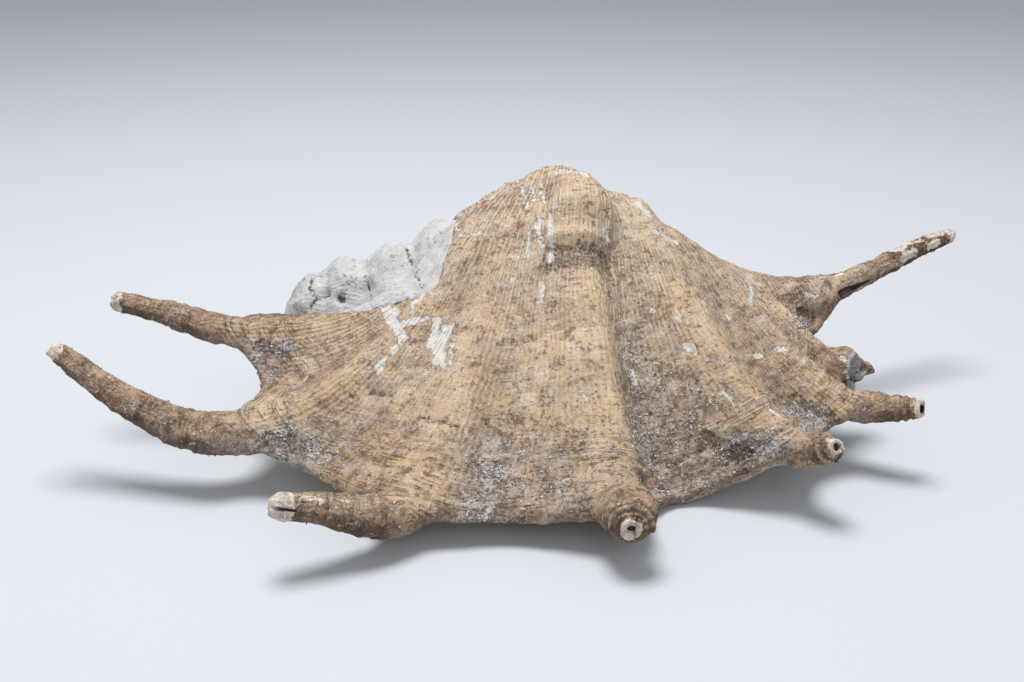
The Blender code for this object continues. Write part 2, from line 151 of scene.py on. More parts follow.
def smooth_wall(line, t):
    """The whorl without relief. t is -1 at the foot, 0 on the ridge and 1 at the lip's edge."""
    lines = np.arange(len(GUIDES))
    guides = list(GUIDES.values())
    ridge_x = spline(lines, [g[0] for g in guides], line)
    bend = spline(lines, [g[1] for g in guides], line)
    edge = spline(lines, [g[2] for g in guides], line)
    ridge = ring_point(ridge_x, np.full_like(ridge_x, math.pi / 2))
    u = np.clip(t, 0, 1)
    left = spline(FALL_AT, FALL_LEFT, u) ** np.interp(line, FALL_LINE, FALL_POWER)
    height = edge[..., 2] + (ridge[..., 2] - edge[..., 2]) * left
    u = u[..., None]
    plan = (1 - u) ** 2 * ridge[..., :2] + 2 * u * (1 - u) * bend + u**2 * edge[..., :2]
    lip = np.concatenate([plan, height[..., None]], axis=-1)
    behind = np.minimum(t, 0)
    coil_x = ridge_x + SLANT * behind * np.interp(line, (0, 6), (1, 0))
    coil = ring_point(coil_x, math.pi / 2 + math.pi * behind)
    return np.where((t > 0)[..., None], lip, coil)


def wall_normal(line, t, step=0.02):
    before = smooth_wall(np.maximum(line - step, 0), t)
    along = smooth_wall(np.minimum(line + step, LAST_LINE), t) - before
    down = smooth_wall(line, np.minimum(t + step, 1)) - smooth_wall(line, t - step)
    return unit(np.cross(down, along))


def relief(line, t):
    """How far the ribs and knobs stand out of the smooth wall."""
    out = np.zeros_like(line)
    for centre, height, left, right in RIBS:
        width = np.where(line < centre, left, right)
        share = np.interp(t, RIB_AT, RIB_SHARE)
        out += height * share * np.exp(-(((line - centre) / width) ** 2))
    for centre, place, height, half, up, down in KNOBS:
        length = np.where(t < place, up, down)
        away = ((line - centre) / half) ** 4 + ((t - place) / length) ** 2
        out += height * np.exp(-away)
    return out


def thickness(line, t):
    near_end = np.minimum(line, LAST_LINE - line)
    return np.interp(t, THICK_AT, THICK) * np.interp(near_end, (0, 2), (THIN_END_SHARE, 1))


def linked(name, data):
    obj = bpy.data.objects.new(name, data)
    bpy.context.scene.collection.objects.link(obj)
    return obj


def new_object(name, points, faces):
    """A mesh object whose faces all look outwards."""
    mesh = bpy.data.meshes.new(name)
    mesh.from_pydata(np.asarray(points, float).tolist(), [], faces)
    work = bmesh.new()
    work.from_mesh(mesh)
    bmesh.ops.recalc_face_normals(work, faces=work.faces)
    work.to_mesh(mesh)
    work.free()
    return linked(name, mesh)


def ring_faces(rings, around, closed=False):
    """Quads between rings of points one after another, and the two ends if it is closed."""
    faces = []
    for low in range(0, (rings - 1) * around, around):
        for c in range(around):
            after = (c + 1) % around
            faces.append((low + c, low + after, low + around + after, low + around + c))
    if closed:
        faces += [tuple(range(around)), tuple(range((rings - 1) * around, rings * around))]
    return faces


def whorl_slab():
    lines, ts = np.meshgrid(
        np.linspace(0, LAST_LINE, WALL_ROWS), np.linspace(WALL_START, 1, WALL_COLUMNS), indexing="ij"
    )
    smooth = smooth_wall(lines, ts)
    normal = wall_normal(lines, ts)
    thick = thickness(lines, ts)[..., None]
    outside = smooth + normal * relief(lines, ts)[..., None]
    inside = smooth - normal * thick
    out_of_lip = unit(smooth[:, -1] - smooth[:, -2])
    rim = (outside[:, -1] + inside[:, -1]) / 2 + out_of_lip * thick[:, -1] / 2
    loop = np.concatenate([outside, rim[:, None], inside[:, ::-1]], axis=1)
    around = loop.shape[1]
    faces = ring_faces(WALL_ROWS, around)
    for end in (0, WALL_ROWS - 1):
        first = end * around
        for c in range(WALL_COLUMNS - 1):
            faces.append((first + c, first + c + 1, first + around - 2 - c, first + around - 1 - c))
        faces.append((first + WALL_COLUMNS - 1, first + WALL_COLUMNS, first + WALL_COLUMNS + 1))
    return new_object("last_whorl", loop.reshape(-1, 3), faces)


# The spire and the columella.
# The earlier whorls, one solid core here: a knobbed cone outside, and inside the last whorl the
# pillar that it winds round. The spire has lost its skin and is worn down to chalky shell.
CORE_X = (-88.0, -85.0, -80.0, -66.0, -47.0, -28.0, -20.0, -8.0, 5.0, 30.0, 50.0, 75.0, 100.0, 124.0)
CORE_SHARE = (0.45, 0.8, 1.0, 1.0, 1.0, 1.0, 0.97, 0.8, 0.62, 0.58, 0.6, 0.74, 0.86, 0.9)
CORE_FRONT_SHARE = 0.9
CORE_FOOT_DIP = (0.3, 0.85)
CORE_RINGS = 150
CORE_AROUND = 120
SPIRE_X = (-88.0, -34.0)
SPIRE_RADIUS = (10.5, 27.0)
SPIRE_AXIS_Z = (32.5, 38.5)
SUTURE_X = (-103.0, -88.0, -73.0, -57.5, -38.0, -20.0, 0.0)
WHORL_SWELL = 0.17
WHORL_MIDDLE = 0.55
WHORL_FULLNESS = 0.7
SUTURE_DEPTH = 1.08
SPIRE_KNOBS = 7
KNOB_SWELL = 0.05
KNOB_TURN = 2.1
SHOULDER_AT = 0.62
SHOULDER_WIDTH = 0.22
SPIRE_RELIEF_X = (-24.0, -16.0)


def core_points(x, angle):
    body_x = np.maximum(x, STATION_X[0])
    axis_z = spline(STATION_X, AXIS_Z, body_x)
    reach = ring_point(body_x, angle) - np.stack([body_x, np.full_like(x, AXIS_Y), axis_z], axis=-1)
    reach[..., 1] *= np.where(np.cos(angle) < 0, CORE_FRONT_SHARE, 1.0)
    share = spline(CORE_X, CORE_SHARE, x)
    low = ease(np.interp(-np.sin(angle), CORE_FOOT_DIP, (0, 1)))
    share = share + (1 - share) * low * (x > SPIRE_X[1])
    taper = np.interp(x, SPIRE_X, (SPIRE_RADIUS[0] / SPIRE_RADIUS[1], 1.0))
    turn = np.interp(x, SUTURE_X, np.arange(len(SUTURE_X))) - (angle - math.pi / 2) / (2 * math.pi)
    within = turn - np.floor(turn)
    arch = np.sin(math.pi * np.clip(within * SUTURE_DEPTH, 0, 1)) ** WHORL_FULLNESS
    shoulder = np.exp(-(((within - SHOULDER_AT) / SHOULDER_WIDTH) ** 2))
    knob = shoulder * np.cos(SPIRE_KNOBS * angle + KNOB_TURN * np.floor(turn))
    swell = WHORL_SWELL * (arch - WHORL_MIDDLE) + KNOB_SWELL * knob
    scale = taper * share * (1 + swell * np.interp(x, SPIRE_RELIEF_X, (1, 0)))
    centre_z = np.where(x < SPIRE_X[1], np.interp(x, SPIRE_X, SPIRE_AXIS_Z), axis_z)
    return np.stack([x, AXIS_Y + reach[..., 1] * scale, centre_z + reach[..., 2] * scale], axis=-1)


CORE_SKIN = core_points(*np.meshgrid(
    np.linspace(CORE_X[0], CORE_X[-1], CORE_RINGS),
    np.linspace(0, 2 * math.pi, CORE_AROUND, endpoint=False),
    indexing="ij",
))


# The digits and the siphonal canal.
# Tubes that the mantle's edge folded round itself, seven along the lip and the long canal at the
# end. They grew shut, and their tips are worn through to a small hole. The seventh is broken off.
DIGITS = {
    "first digit": (1, (
        (-109.0, -15.5, 42.0, 5.6),
        (-119.0, -14.5, 45.2, 4.8),
        (-131.0, -13.0, 48.2, 4.3),
        (-142.0, -12.0, 50.5, 3.9),
    )),
    "second digit": (3, (
        (-98.0, -60.0, 21.2, 7.2),
        (-108.0, -59.0, 22.8, 6.6),
        (-118.0, -57.0, 26.2, 6.1),
        (-129.0, -54.0, 31.0, 5.4),
        (-141.0, -50.5, 38.7, 4.5),
        (-152.0, -48.0, 46.5, 3.5),
    )),
    "third digit": (5, (
        (-38.0, -98.0, 12.0, 6.8),
        (-48.0, -103.5, 16.4, 5.9),
        (-58.0, -108.0, 20.8, 5.0),
        (-69.0, -112.0, 23.5, 3.9),
    )),
    "fourth digit": (7, (
        (34.5, -102.0, 15.8, 8.1),
        (35.5, -110.5, 18.9, 7.1),
    )),
    "fifth digit": (9, (
        (95.0, -76.5, 23.5, 5.8),
        (100.5, -81.5, 27.3, 4.7),
    )),
    "sixth digit": (11, (
        (123.0, -46.3, 24.3, 5.3),
        (129.0, -49.0, 25.0, 4.6),
        (137.0, -52.0, 26.5, 3.7),
    )),
    "seventh digit": (13, (
        (119.5, -25.0, 29.3, 8.2),
    )),
}
ROOT_AT = (0.78, 0.88, 0.96)
ROOT_SWELL = (0.0, 0.4, 0.8)
CANAL_LINE = 15.5
CANAL = (
    (104.0, 18.0, 40.0, 9.0),
    (116.0, 19.5, 41.5, 7.4),
    (126.0, 22.0, 43.5, 5.6),
    (139.0, 28.0, 47.5, 4.7),
    (157.0, 38.0, 52.3, 4.1),
    (176.0, 48.0, 56.8, 3.5),
)
SHARD = (
    (112.0, -17.5, 29.5, 3.0),
    (120.0, -18.5, 28.5, 4.2),
    (125.0, -18.5, 27.2, 3.5),
    (129.0, -18.4, 26.0, 2.0),
    (131.3, -18.3, 25.4, 0.9),
)
ROUND_END_SHARE = 0.5
ROUND_END_AT = (0.45, 0.8, 0.97)
RINGS_PER_SPAN = 4
SIDES = 14


def tube(name, path, sides=SIDES):
    """A closed tube with a rounded far end, through rows of centre and radius."""
    path = np.asarray(path, float)
    at = np.linspace(0, len(path) - 1, RINGS_PER_SPAN * (len(path) - 1) + 1)
    line = spline(np.arange(len(path)), path, at)
    centre = line[:, :3]
    radius = line[:, 3]
    tangent = unit(np.gradient(centre, axis=0))
    for turn in ROUND_END_AT:
        centre = np.vstack([centre, line[-1, :3] + tangent[-1] * line[-1, 3] * ROUND_END_SHARE * turn])
        tangent = np.vstack([tangent, tangent[-1]])
        radius = np.append(radius, line[-1, 3] * math.sqrt(1 - turn**2))
    side = unit(np.cross(tangent[0], (0.0, 0.0, 1.0)))
    angles = np.linspace(0, 2 * math.pi, sides, endpoint=False)
    rings = []
    for c, d, r in zip(centre, tangent, radius):
        side = unit(side - d * (side @ d))
        up = np.cross(side, d)
        rings.append(c + r * (np.outer(np.cos(angles), side) + np.outer(np.sin(angles), up)))
    return new_object(name, np.concatenate(rings), ring_faces(len(rings), sides, closed=True))


def digit_path(guide, outer):
    """A digit leaves the wall inside its rib and runs on outside the lip."""
    at = np.array(ROOT_AT)
    line = np.full_like(at, float(guide))
    lift = relief(line, at)
    half = (thickness(line, at) + lift) / 2
    radius = half + (outer[0][3] - half) * np.array(ROOT_SWELL)
    root = smooth_wall(line, at) + wall_normal(line, at) * (lift - radius)[:, None]
    return np.vstack([np.column_stack([root, radius]), outer])


DIGIT_PATHS = {name: digit_path(guide, outer) for name, (guide, outer) in DIGITS.items()}

# The whole shell, grown as one.
# Whorl, spire and digits are one body with no joint in it. Here they are fused on a fine grid and
# softened, so that each runs into the next as it does on the real shell, and brought to the frame.
FUSE_GRID = 1.6
SOFTEN_STEPS = 4
SOFTEN_FACTOR = 0.5
# The digits' roots are softened more, from the first reach to the second, and swelled back a little.
ROOT_STEPS = 16
ROOT_REACH = (12.0, 22.0)
ROOT_BACK = 0.6
TO_FRAME = np.array((-11.98, 23.2, 0.0))


def joined(objects, name):
    work = bmesh.new()
    for obj in objects:
        work.from_mesh(obj.data)
        bpy.data.objects.remove(obj)
    mesh = bpy.data.meshes.new(name)
    work.to_mesh(mesh)
    work.free()
    return linked(name, mesh)


def modify(obj, kind, **settings):
    """Puts one modifier on the object and keeps the mesh that it makes."""
    modifier = obj.modifiers.new(kind, kind)
    for name, value in settings.items():
        setattr(modifier, name, value)
    bpy.context.view_layer.update()
    mesh = bpy.data.meshes.new_from_object(obj.evaluated_get(bpy.context.evaluated_depsgraph_get()))
    obj.modifiers.clear()
    obj.data = mesh


def keep_largest_body(obj):
    """Deletes any closed skin that the fusing left inside."""
    work = bmesh.new()
    work.from_mesh(obj.data)
    left = set(work.verts)
    bodies = []
    while left:
        stack = [left.pop()]
        body = list(stack)
        while stack:
            for edge in stack.pop().link_edges:
                for vert in edge.verts:
                    if vert in left:
                        left.remove(vert)
                        stack.append(vert)
                        body.append(vert)
        bodies.append(body)
    bodies.sort(key=len)
    for body in bodies[:-1]:
        bmesh.ops.delete(work, geom=body, context="VERTS")
    work.to_mesh(obj.data)
    work.free()


def points_of(obj):
    flat = np.empty(len(obj.data.vertices) * 3)
    obj.data.vertices.foreach_get("co", flat)
    return flat.reshape(-1, 3)


def normals_of(obj):
    return np.array([v.normal[:] for v in obj.data.vertices])


def put_points(obj, points):
    obj.data.vertices.foreach_set("co", np.ascontiguousarray(points).ravel())
    obj.data.update()


core = new_object("core", CORE_SKIN.reshape(-1, 3), ring_faces(CORE_RINGS, CORE_AROUND, closed=True))
pieces = [whorl_slab(), core, tube("canal", CANAL), tube("shard", SHARD)]
pieces += [tube(name.replace(" ", "_"), path) for name, path in DIGIT_PATHS.items()]
shell = joined(pieces, "spider_conch")
modify(shell, "REMESH", mode="VOXEL", voxel_size=FUSE_GRID)
modify(shell, "SMOOTH", factor=SOFTEN_FACTOR, iterations=SOFTEN_STEPS)
keep_largest_body(shell)
points = points_of(shell)
root_middles = np.array([outer[0][:3] for _, outer in DIGITS.values()])
to_root = np.linalg.norm(points[:, None] - root_middles[None], axis=2).min(1)
at_root = ease((ROOT_REACH[1] - to_root) / (ROOT_REACH[1] - ROOT_REACH[0]))
roots = shell.vertex_groups.new(name="roots")
for i in np.nonzero(at_root)[0].tolist():
    roots.add([i], float(at_root[i]), "REPLACE")
modify(shell, "SMOOTH", factor=SOFTEN_FACTOR, iterations=ROOT_STEPS, vertex_group="roots")
put_points(shell, points_of(shell) + normals_of(shell) * (ROOT_BACK * at_root)[:, None])
shell.vertex_groups.clear()
modify(shell, "SUBSURF", levels=1)

# Where each point of the skin lies on the grown surface.
# Cords, growth lines, wear and dirt all follow the way the shell grew, so every point is told its
# spiral line, its distance from the lip's edge, and whether it is on the skin, the spire or inside.
SURVEY_LINES = 481
SURVEY_PLACES = 341
DIGIT_SURVEY = 160
DIGIT_BLEND = 9.0
SPIRE_END_X = -14.0
CANAL_GAP = 7.5
# Fields in millimetres are cut off where they are this far from their edge.
FAR = 4.0
# A point may be read this far past the nearest sample, in lines and in places.
MOST_PAST = (3, 0.3)
# The skin is the wall's outermost part, down to SKIN_DEPTH. Deeper in, only what lies within
# CORE_CLEAR of the core can be spire. The spire starts BARE_START past the skin's ragged end.
SKIN_DEPTH = 2.5
CORE_CLEAR = 3.0
BARE_START = 0.4
# The glossy inside and the rim: the share of the wall's depth where each starts, and over how much
# depth it comes in. Then the same for the distance from the lip's edge, where the rim ends.
INNER_DEPTH = (0.42, 0.2)
INNER_EDGE = (3.0, 4.0)
RIM_DEPTH = (0.66, 0.15)
RIM_EDGE = (4.0, 2.0)
# A digit's skin reaches to REACH times its radius and REACH_MORE beyond, within a box that is
# DIGIT_MARGIN larger than its centre line. HALF_LINE is half of the step along the lip's edge.
DIGIT_MARGIN = 12
REACH = 1.5
REACH_MORE = 1.5
HALF_LINE = 0.3
# The ragged end of the brown skin over the spire: place along the lines, and the line it reaches.
SKIN_END_AT = (-0.1, -0.04, 0.0, 0.19, 0.24, 0.29, 0.34, 0.38, 0.4, 0.43, 0.48, 0.53, 0.6, 0.7, 0.84)
SKIN_END_LINE = (0.0, 0.1, 0.2, 1.6, 2.2, 2.8, 3.2, 3.3, 3.0, 1.8, 1.5, 1.3, 1.1, 0.7, 0.0)

survey_line, survey_t = np.meshgrid(
    np.linspace(0, LAST_LINE, SURVEY_LINES), np.linspace(WALL_START, 1, SURVEY_PLACES), indexing="ij"
)
survey_normal = wall_normal(survey_line, survey_t)
survey_relief = relief(survey_line, survey_t)
survey = smooth_wall(survey_line, survey_t) + survey_normal * survey_relief[..., None]
survey_along = np.gradient(survey, axis=0) / (LAST_LINE / (SURVEY_LINES - 1))
survey_down = np.gradient(survey, axis=1) / ((1 - WALL_START) / (SURVEY_PLACES - 1))
survey_steps = np.linalg.norm(np.diff(survey, axis=1), axis=-1)
survey_to_edge = np.concatenate(
    [np.cumsum(survey_steps[:, ::-1], axis=1)[:, ::-1], np.zeros((SURVEY_LINES, 1))], axis=1
)


def nearest(samples, points):
    tree = KDTree(len(samples))
    for i, sample in enumerate(samples.tolist()):
        tree.insert(sample, i)
    tree.balance()
    found = [tree.find(p)[1:] for p in points.tolist()]
    return np.array([f[0] for f in found]), np.array([f[1] for f in found])


def digit_course(path):
    """The centre line of a digit in fine steps: centre, radius, direction and distance along it."""
    fine = spline(np.arange(len(path)), path, np.linspace(0, len(path) - 1, DIGIT_SURVEY))
    centre = fine[:, :3]
    direction = unit(np.gradient(centre, axis=0))
    along = np.concatenate([[0], np.cumsum(np.linalg.norm(np.diff(centre, axis=0), axis=1))])
    return centre, fine[:, 3], direction, along


def survey_skin(points):
    """For points in millimetres: a dictionary of fields that say where on the shell each one is."""
    k, survey_gap = nearest(survey.reshape(-1, 3), points)
    along = survey_along.reshape(-1, 3)[k]
    down = survey_down.reshape(-1, 3)[k]
    away = points - survey.reshape(-1, 3)[k]
    aa = (along * along).sum(1)
    dd = (down * down).sum(1)
    ad = (along * down).sum(1)
    pa = (away * along).sum(1)
    pd = (away * down).sum(1)
    det = np.maximum(aa * dd - ad * ad, 1e-6)
    d_line = np.clip((pa * dd - pd * ad) / det, -MOST_PAST[0], MOST_PAST[0])
    d_t = np.clip((pd * aa - pa * ad) / det, -MOST_PAST[1], MOST_PAST[1])
    line = survey_line.ravel()[k] + d_line
    t = survey_t.ravel()[k] + d_t
    spacing = np.sqrt(aa)
    to_edge = survey_to_edge.ravel()[k] - d_t * np.sqrt(dd)
    depth = -(away * survey_normal.reshape(-1, 3)[k]).sum(1)
    thick = thickness(np.clip(line, 0, LAST_LINE), np.clip(t, WALL_START, 1))

    past_end = -line * spacing
    skin_end = np.interp(t, SKIN_END_AT, SKIN_END_LINE)
    painted = (skin_end - line) * spacing
    painted = np.where((t > SKIN_END_AT[0]) & (t < SKIN_END_AT[-1]), painted, past_end)
    _, core_gap = nearest(CORE_SKIN.reshape(-1, 3), points)
    behind_lip = np.minimum(depth - thick, SKIN_DEPTH - core_gap)
    bare = np.maximum(np.maximum(past_end, painted) - BARE_START, behind_lip)
    bare = np.where(points[:, 0] < SPIRE_END_X, bare, -FAR)
    bare = np.where((depth > SKIN_DEPTH) & (core_gap > CORE_CLEAR), -FAR, bare)
    inner = ease((depth / thick - INNER_DEPTH[0]) / INNER_DEPTH[1])
    inner = inner * ease((to_edge - INNER_EDGE[0]) / INNER_EDGE[1]) * (bare < 0)
    on_canal = (survey_gap > CANAL_GAP) & (points[:, 0] > CANAL[1][0])
    inner *= ~on_canal
    rim = ease((depth / thick - RIM_DEPTH[0]) / RIM_DEPTH[1])
    rim = rim * ease((RIM_EDGE[0] - to_edge) / RIM_EDGE[1]) * (bare < 0)
    crest = survey_relief.ravel()[k] * (depth < SKIN_DEPTH) * (bare < 0)

    digit = np.zeros(len(points))
    courses = [(guide, DIGIT_PATHS[name]) for name, (guide, _) in DIGITS.items()]
    for guide, path in courses + [(CANAL_LINE, np.array(CANAL))]:
        centre, radius, direction, distance = digit_course(path)
        low, high = centre.min(0) - DIGIT_MARGIN, centre.max(0) + DIGIT_MARGIN
        near = np.nonzero(np.all(points > low, axis=1) & np.all(points < high, axis=1))[0]
        gap = np.linalg.norm(points[near, None, :] - centre[None], axis=2)
        at = gap.argmin(1)
        rows = np.linspace(0, len(path) - 1, DIGIT_SURVEY)
        root = distance[np.abs(rows - min(len(ROOT_AT), len(path) - 2)).argmin()]
        offset = points[near] - centre[at]
        run = distance[at] + (offset * direction[at]).sum(1) - root
        on_digit = gap[np.arange(len(near)), at] < radius[at] * REACH + REACH_MORE
        on_digit = ease(run / DIGIT_BLEND + 0.6) * on_digit
        ends = [smooth_wall(np.array([guide + step]), np.array([1.0]))[0] for step in (HALF_LINE, -HALF_LINE)]
        edge_along = ends[0] - ends[1]
        side = unit(edge_along - direction[at] * (direction[at] @ edge_along)[:, None])
        top = np.cross(direction[at], side)
        top = np.where((top[:, 2] < 0)[:, None], -top, top)
        angle = np.arctan2((offset * side).sum(1), (offset * top).sum(1))
        edge_spacing = np.linalg.norm(edge_along) / (2 * HALF_LINE)
        digit_line = guide + angle * radius.max() / edge_spacing
        line[near] += on_digit * (digit_line - line[near])
        to_edge[near] += on_digit * (-run - to_edge[near])
        spacing[near] += on_digit * (edge_spacing * radius[at] / radius.max() - spacing[near])
        inner[near] *= 1 - on_digit
        rim[near] *= 1 - on_digit
        digit[near] = np.maximum(digit[near], on_digit)
    return {
        "line": line, "place": t, "spacing": spacing, "to_edge": to_edge, "bare": np.clip(bare, -FAR, FAR),
        "inner": inner, "rim": rim, "digit": digit, "crest": crest,
    }


# Wear, dirt and damage, each where it is on this shell.
# Pale patches are where the dry skin has flaked off, and cracks are where it has split. Tips are
# worn white. Each is a short stroke from one point to another, with half its width, in millimetres.
PALE_STROKES = (
    ((-57.0, 6.2, 49.4), (-52.9, 4.1, 48.7), 1.8), ((-57.0, 6.2, 49.4), (-55.0, 2.7, 46.9), 1.6),
    ((-55.0, 2.7, 46.9), (-51.0, -10.1, 48.5), 2.0), ((-47.2, -4.2, 53.3), (-43.1, -1.8, 56.8), 1.3),
    ((-51.0, -10.1, 48.5), (-48.6, -9.1, 50.0), 1.6), ((-48.6, -9.1, 50.0), (-45.2, -9.0, 50.7), 1.5),
    ((-45.2, -9.0, 50.7), (-41.4, -8.9, 51.4), 1.0), ((-51.0, -10.1, 48.5), (-49.1, -13.1, 46.4), 1.5),
    ((-49.1, -13.1, 46.4), (-52.3, -17.1, 42.2), 1.2), ((-37.5, -11.4, 50.9), (-38.9, -18.8, 45.4), 1.9),
    ((-33.6, -15.6, 50.3), (-36.7, -21.6, 44.8), 2.2), ((-36.7, -21.6, 44.8), (-35.9, -25.5, 42.8), 2.3),
    ((-35.9, -25.5, 42.8), (-34.1, -28.2, 42.1), 1.2), ((-32.0, -22.4, 46.9), (-31.6, -31.8, 41.2), 0.7),
    ((-55.2, -18.7, 40.7), (-57.3, -22.8, 36.6), 1.0),
    ((-46.2, -2.5, 54.5), (-46.5, -4.6, 53.4), 1.0), ((-3.3, 11.1, 79.9), (-3.0, 7.1, 76.8), 1.1),
    ((-3.3, 11.1, 79.9), (1.6, 10.1, 80.6), 0.9), ((1.6, 10.1, 80.6), (1.8, 4.4, 75.5), 1.5),
    ((1.8, 4.4, 75.5), (0.7, -0.8, 70.6), 1.2), ((-3.0, 7.1, 76.8), (-1.4, 2.6, 72.8), 0.6),
    ((-1.5, 31.2, 88.3), (-0.7, 18.3, 84.8), 0.8), ((-4.4, 28.9, 87.1), (-4.2, 19.9, 84.7), 0.6),
    ((-8.0, 29.8, 86.5), (-6.7, 16.3, 82.8), 0.6), ((-6.4, 9.7, 78.5), (-6.5, 0.8, 70.8), 0.5),
    ((19.8, 11.8, 79.7), (20.0, 7.5, 73.1), 1.1), ((5.9, 37.6, 91.1), (15.3, 29.0, 90.7), 1.3),
    ((-15.7, 47.8, 82.1), (-9.0, 43.0, 86.0), 1.4), ((33.0, 29.1, 80.3), (37.1, 26.2, 77.4), 1.5),
    ((-1.5, -7.2, 63.8), (-2.9, -12.0, 59.1), 0.9), ((-10.6, -4.3, 66.0), (-12.0, -6.6, 64.0), 0.6),
    ((-31.6, 45.7, 72.6), (-31.2, 19.2, 74.3), 0.9), ((-30.7, 14.2, 73.5), (-22.8, 11.7, 75.7), 0.5),
    ((46.8, -17.0, 44.4), (49.6, -19.5, 43.5), 1.3), ((35.7, -3.4, 53.3), (36.2, -4.2, 52.8), 0.8),
    ((44.4, -9.4, 51.9), (45.3, -10.4, 51.4), 0.6), ((63.7, 2.5, 48.5), (64.3, 1.2, 48.0), 0.9),
    ((75.8, 21.0, 49.3), (73.1, 10.5, 50.8), 0.8), ((10.7, -44.0, 38.2), (11.9, -44.6, 37.9), 0.8),
    ((57.3, -31.6, 33.9), (59.0, -33.6, 32.7), 0.4), ((59.9, -34.1, 32.5), (61.4, -35.7, 31.5), 0.4),
    ((20.5, -27.3, 45.2), (21.0, -29.0, 43.0), 0.7), ((29.7, -18.9, 37.1), (30.3, -22.5, 33.5), 0.8),
    ((80.8, -6.3, 38.8), (82.2, -6.0, 38.9), 1.3), ((72.6, -9.2, 37.4), (74.0, -9.0, 37.5), 1.0),
    ((72.5, -38.0, 30.0), (74.3, -38.8, 29.5), 1.1), ((75.9, 26.5, 51.7), (75.9, 21.6, 49.5), 0.8),
    ((99.8, 34.8, 44.6), (102.4, 34.6, 43.4), 1.0), ((141.0, 60.0, 56.5), (149.0, 63.5, 58.5), 2.3),
    ((138.6, 58.4, 54.8), (141.4, 59.8, 56.0), 2.4), ((154.0, 66.0, 59.5), (163.0, 70.0, 60.5), 2.8),
    ((153.5, 62.0, 54.5), (157.0, 64.0, 56.0), 1.8), ((141.5, 55.0, 52.0), (146.0, 58.0, 54.0), 1.9),
    ((103.0, -6.4, 35.6), (104.6, -5.0, 34.2), 1.0), ((-20.0, 33.0, 81.9), (-16.4, 40.8, 82.4), 1.2),
    ((-16.4, 40.8, 82.4), (-12.7, 46.2, 83.7), 1.5), ((-12.7, 46.2, 83.7), (-9.7, 47.3, 84.9), 1.5),
    ((4.1, 36.7, 90.6), (9.9, 37.1, 90.9), 1.0), ((9.9, 37.1, 90.9), (14.5, 27.2, 91.2), 1.0),
    ((-72.5, -87.1, 25.8), (-67.2, -86.2, 24.3), 0.9), ((-63.0, -83.4, 23.4), (-59.6, -82.8, 22.0), 0.7),
    ((19.0, -86.7, 22.9), (22.5, -89.0, 21.5), 0.6), ((39.0, 18.5, 74.1), (42.7, 19.5, 71.9), 1.0),
    ((42.7, 19.5, 71.9), (47.1, 21.5, 69.4), 1.2),
)
DARK_STROKES = (
    ((78.8, -21.6, 28.2), (86.4, -19.8, 27.0), 0.7), ((139.0, 57.0, 53.0), (158.0, 66.0, 57.0), 4.4),
    ((-41.3, -43.4, 30.1), (-34.9, -47.5, 30.3), 0.5),
    ((-34.9, -47.5, 30.3), (-29.4, -49.6, 29.5), 0.5), ((-58.7, -27.2, 32.3), (-53.1, -29.9, 31.7), 0.5),
    ((-51.6, -32.6, 30.7), (-48.0, -36.3, 30.3), 0.5), ((37.0, -39.1, 12.7), (49.5, -47.0, 9.8), 1.2),
    ((49.5, -47.0, 9.8), (63.2, -49.2, 14.3), 1.3), ((44.0, -35.0, 14.5), (60.0, -41.5, 17.0), 0.8),
    ((52.0, -36.5, 20.2), (56.7, -41.7, 18.4), 2.2), ((56.7, -41.7, 18.4), (64.1, -47.7, 17.9), 3.2),
    ((86.9, -22.1, 25.8), (92.8, -25.2, 23.6), 2.2), ((92.8, -25.2, 23.6), (97.6, -26.8, 19.8), 2.8),
    ((-99.9, -1.8, 38.5), (-95.1, -3.3, 37.2), 2.4), ((-95.1, -3.3, 37.2), (-89.6, -5.2, 35.7), 1.4),
    ((-91.6, -41.3, 21.1), (-86.2, -40.7, 20.8), 3.0), ((-86.2, -40.7, 20.8), (-81.1, -42.3, 19.1), 2.6),
    ((96.8, 31.7, 38.3), (101.7, 32.2, 35.7), 1.8),
)
GREY_STROKES = (
    ((-103.4, -1.6, 38.4), (-99.6, -4.6, 35.9), 4.0), ((-99.6, -4.6, 35.9), (-90.0, -2.2, 38.7), 3.0),
    ((-90.9, -42.4, 19.8), (-81.4, -40.4, 20.6), 4.5), ((-86.4, -38.7, 22.8), (-75.2, -43.2, 18.5), 4.0),
    ((84.0, -26.0, 25.0), (93.0, -27.0, 22.0), 4.5), ((99.0, 30.0, 38.0), (94.0, 14.0, 38.5), 4.0),
    ((96.0, -8.0, 32.0), (102.0, -8.5, 31.0), 2.5), ((60.0, -44.0, 22.0), (76.0, -50.0, 22.0), 4.5),
)
# Cracks in the spire's chalk, and its dark pit.
CRACKS = (
    ((-88.0, 33.4, 46.5), (-85.4, 29.7, 43.9), 0.4), ((-85.4, 29.7, 43.9), (-88.0, 28.2, 40.5), 0.4),
    ((-84.6, 30.1, 44.1), (-81.6, 30.5, 45.9), 0.3), ((-87.5, 32.5, 45.5), (-84.6, 30.1, 44.1), 0.3),
    ((-51.2, 36.3, 61.7), (-49.3, 28.9, 59.0), 0.35), ((-49.3, 28.9, 59.0), (-46.3, 13.6, 58.9), 0.35),
    ((-46.3, 13.6, 58.9), (-44.0, 6.5, 56.8), 0.35), ((-87.5, 38.4, 48.4), (-88.0, 33.4, 46.5), 0.4),
    ((-76.6, 26.9, 45.5), (-75.2, 26.5, 45.1), 1.3), ((-66.1, 26.9, 48.8), (-67.5, 32.0, 54.0), 0.25),
    ((-75.2, 26.3, 44.8), (-66.0, 20.0, 46.5), 0.3),
)
# Painted shade under the knob's overhang: from line to line, and from place to place along them.
LEDGE_SHADE = (6.0, 7.65, 0.318, 0.37)
LEDGE_REACH = 85.0
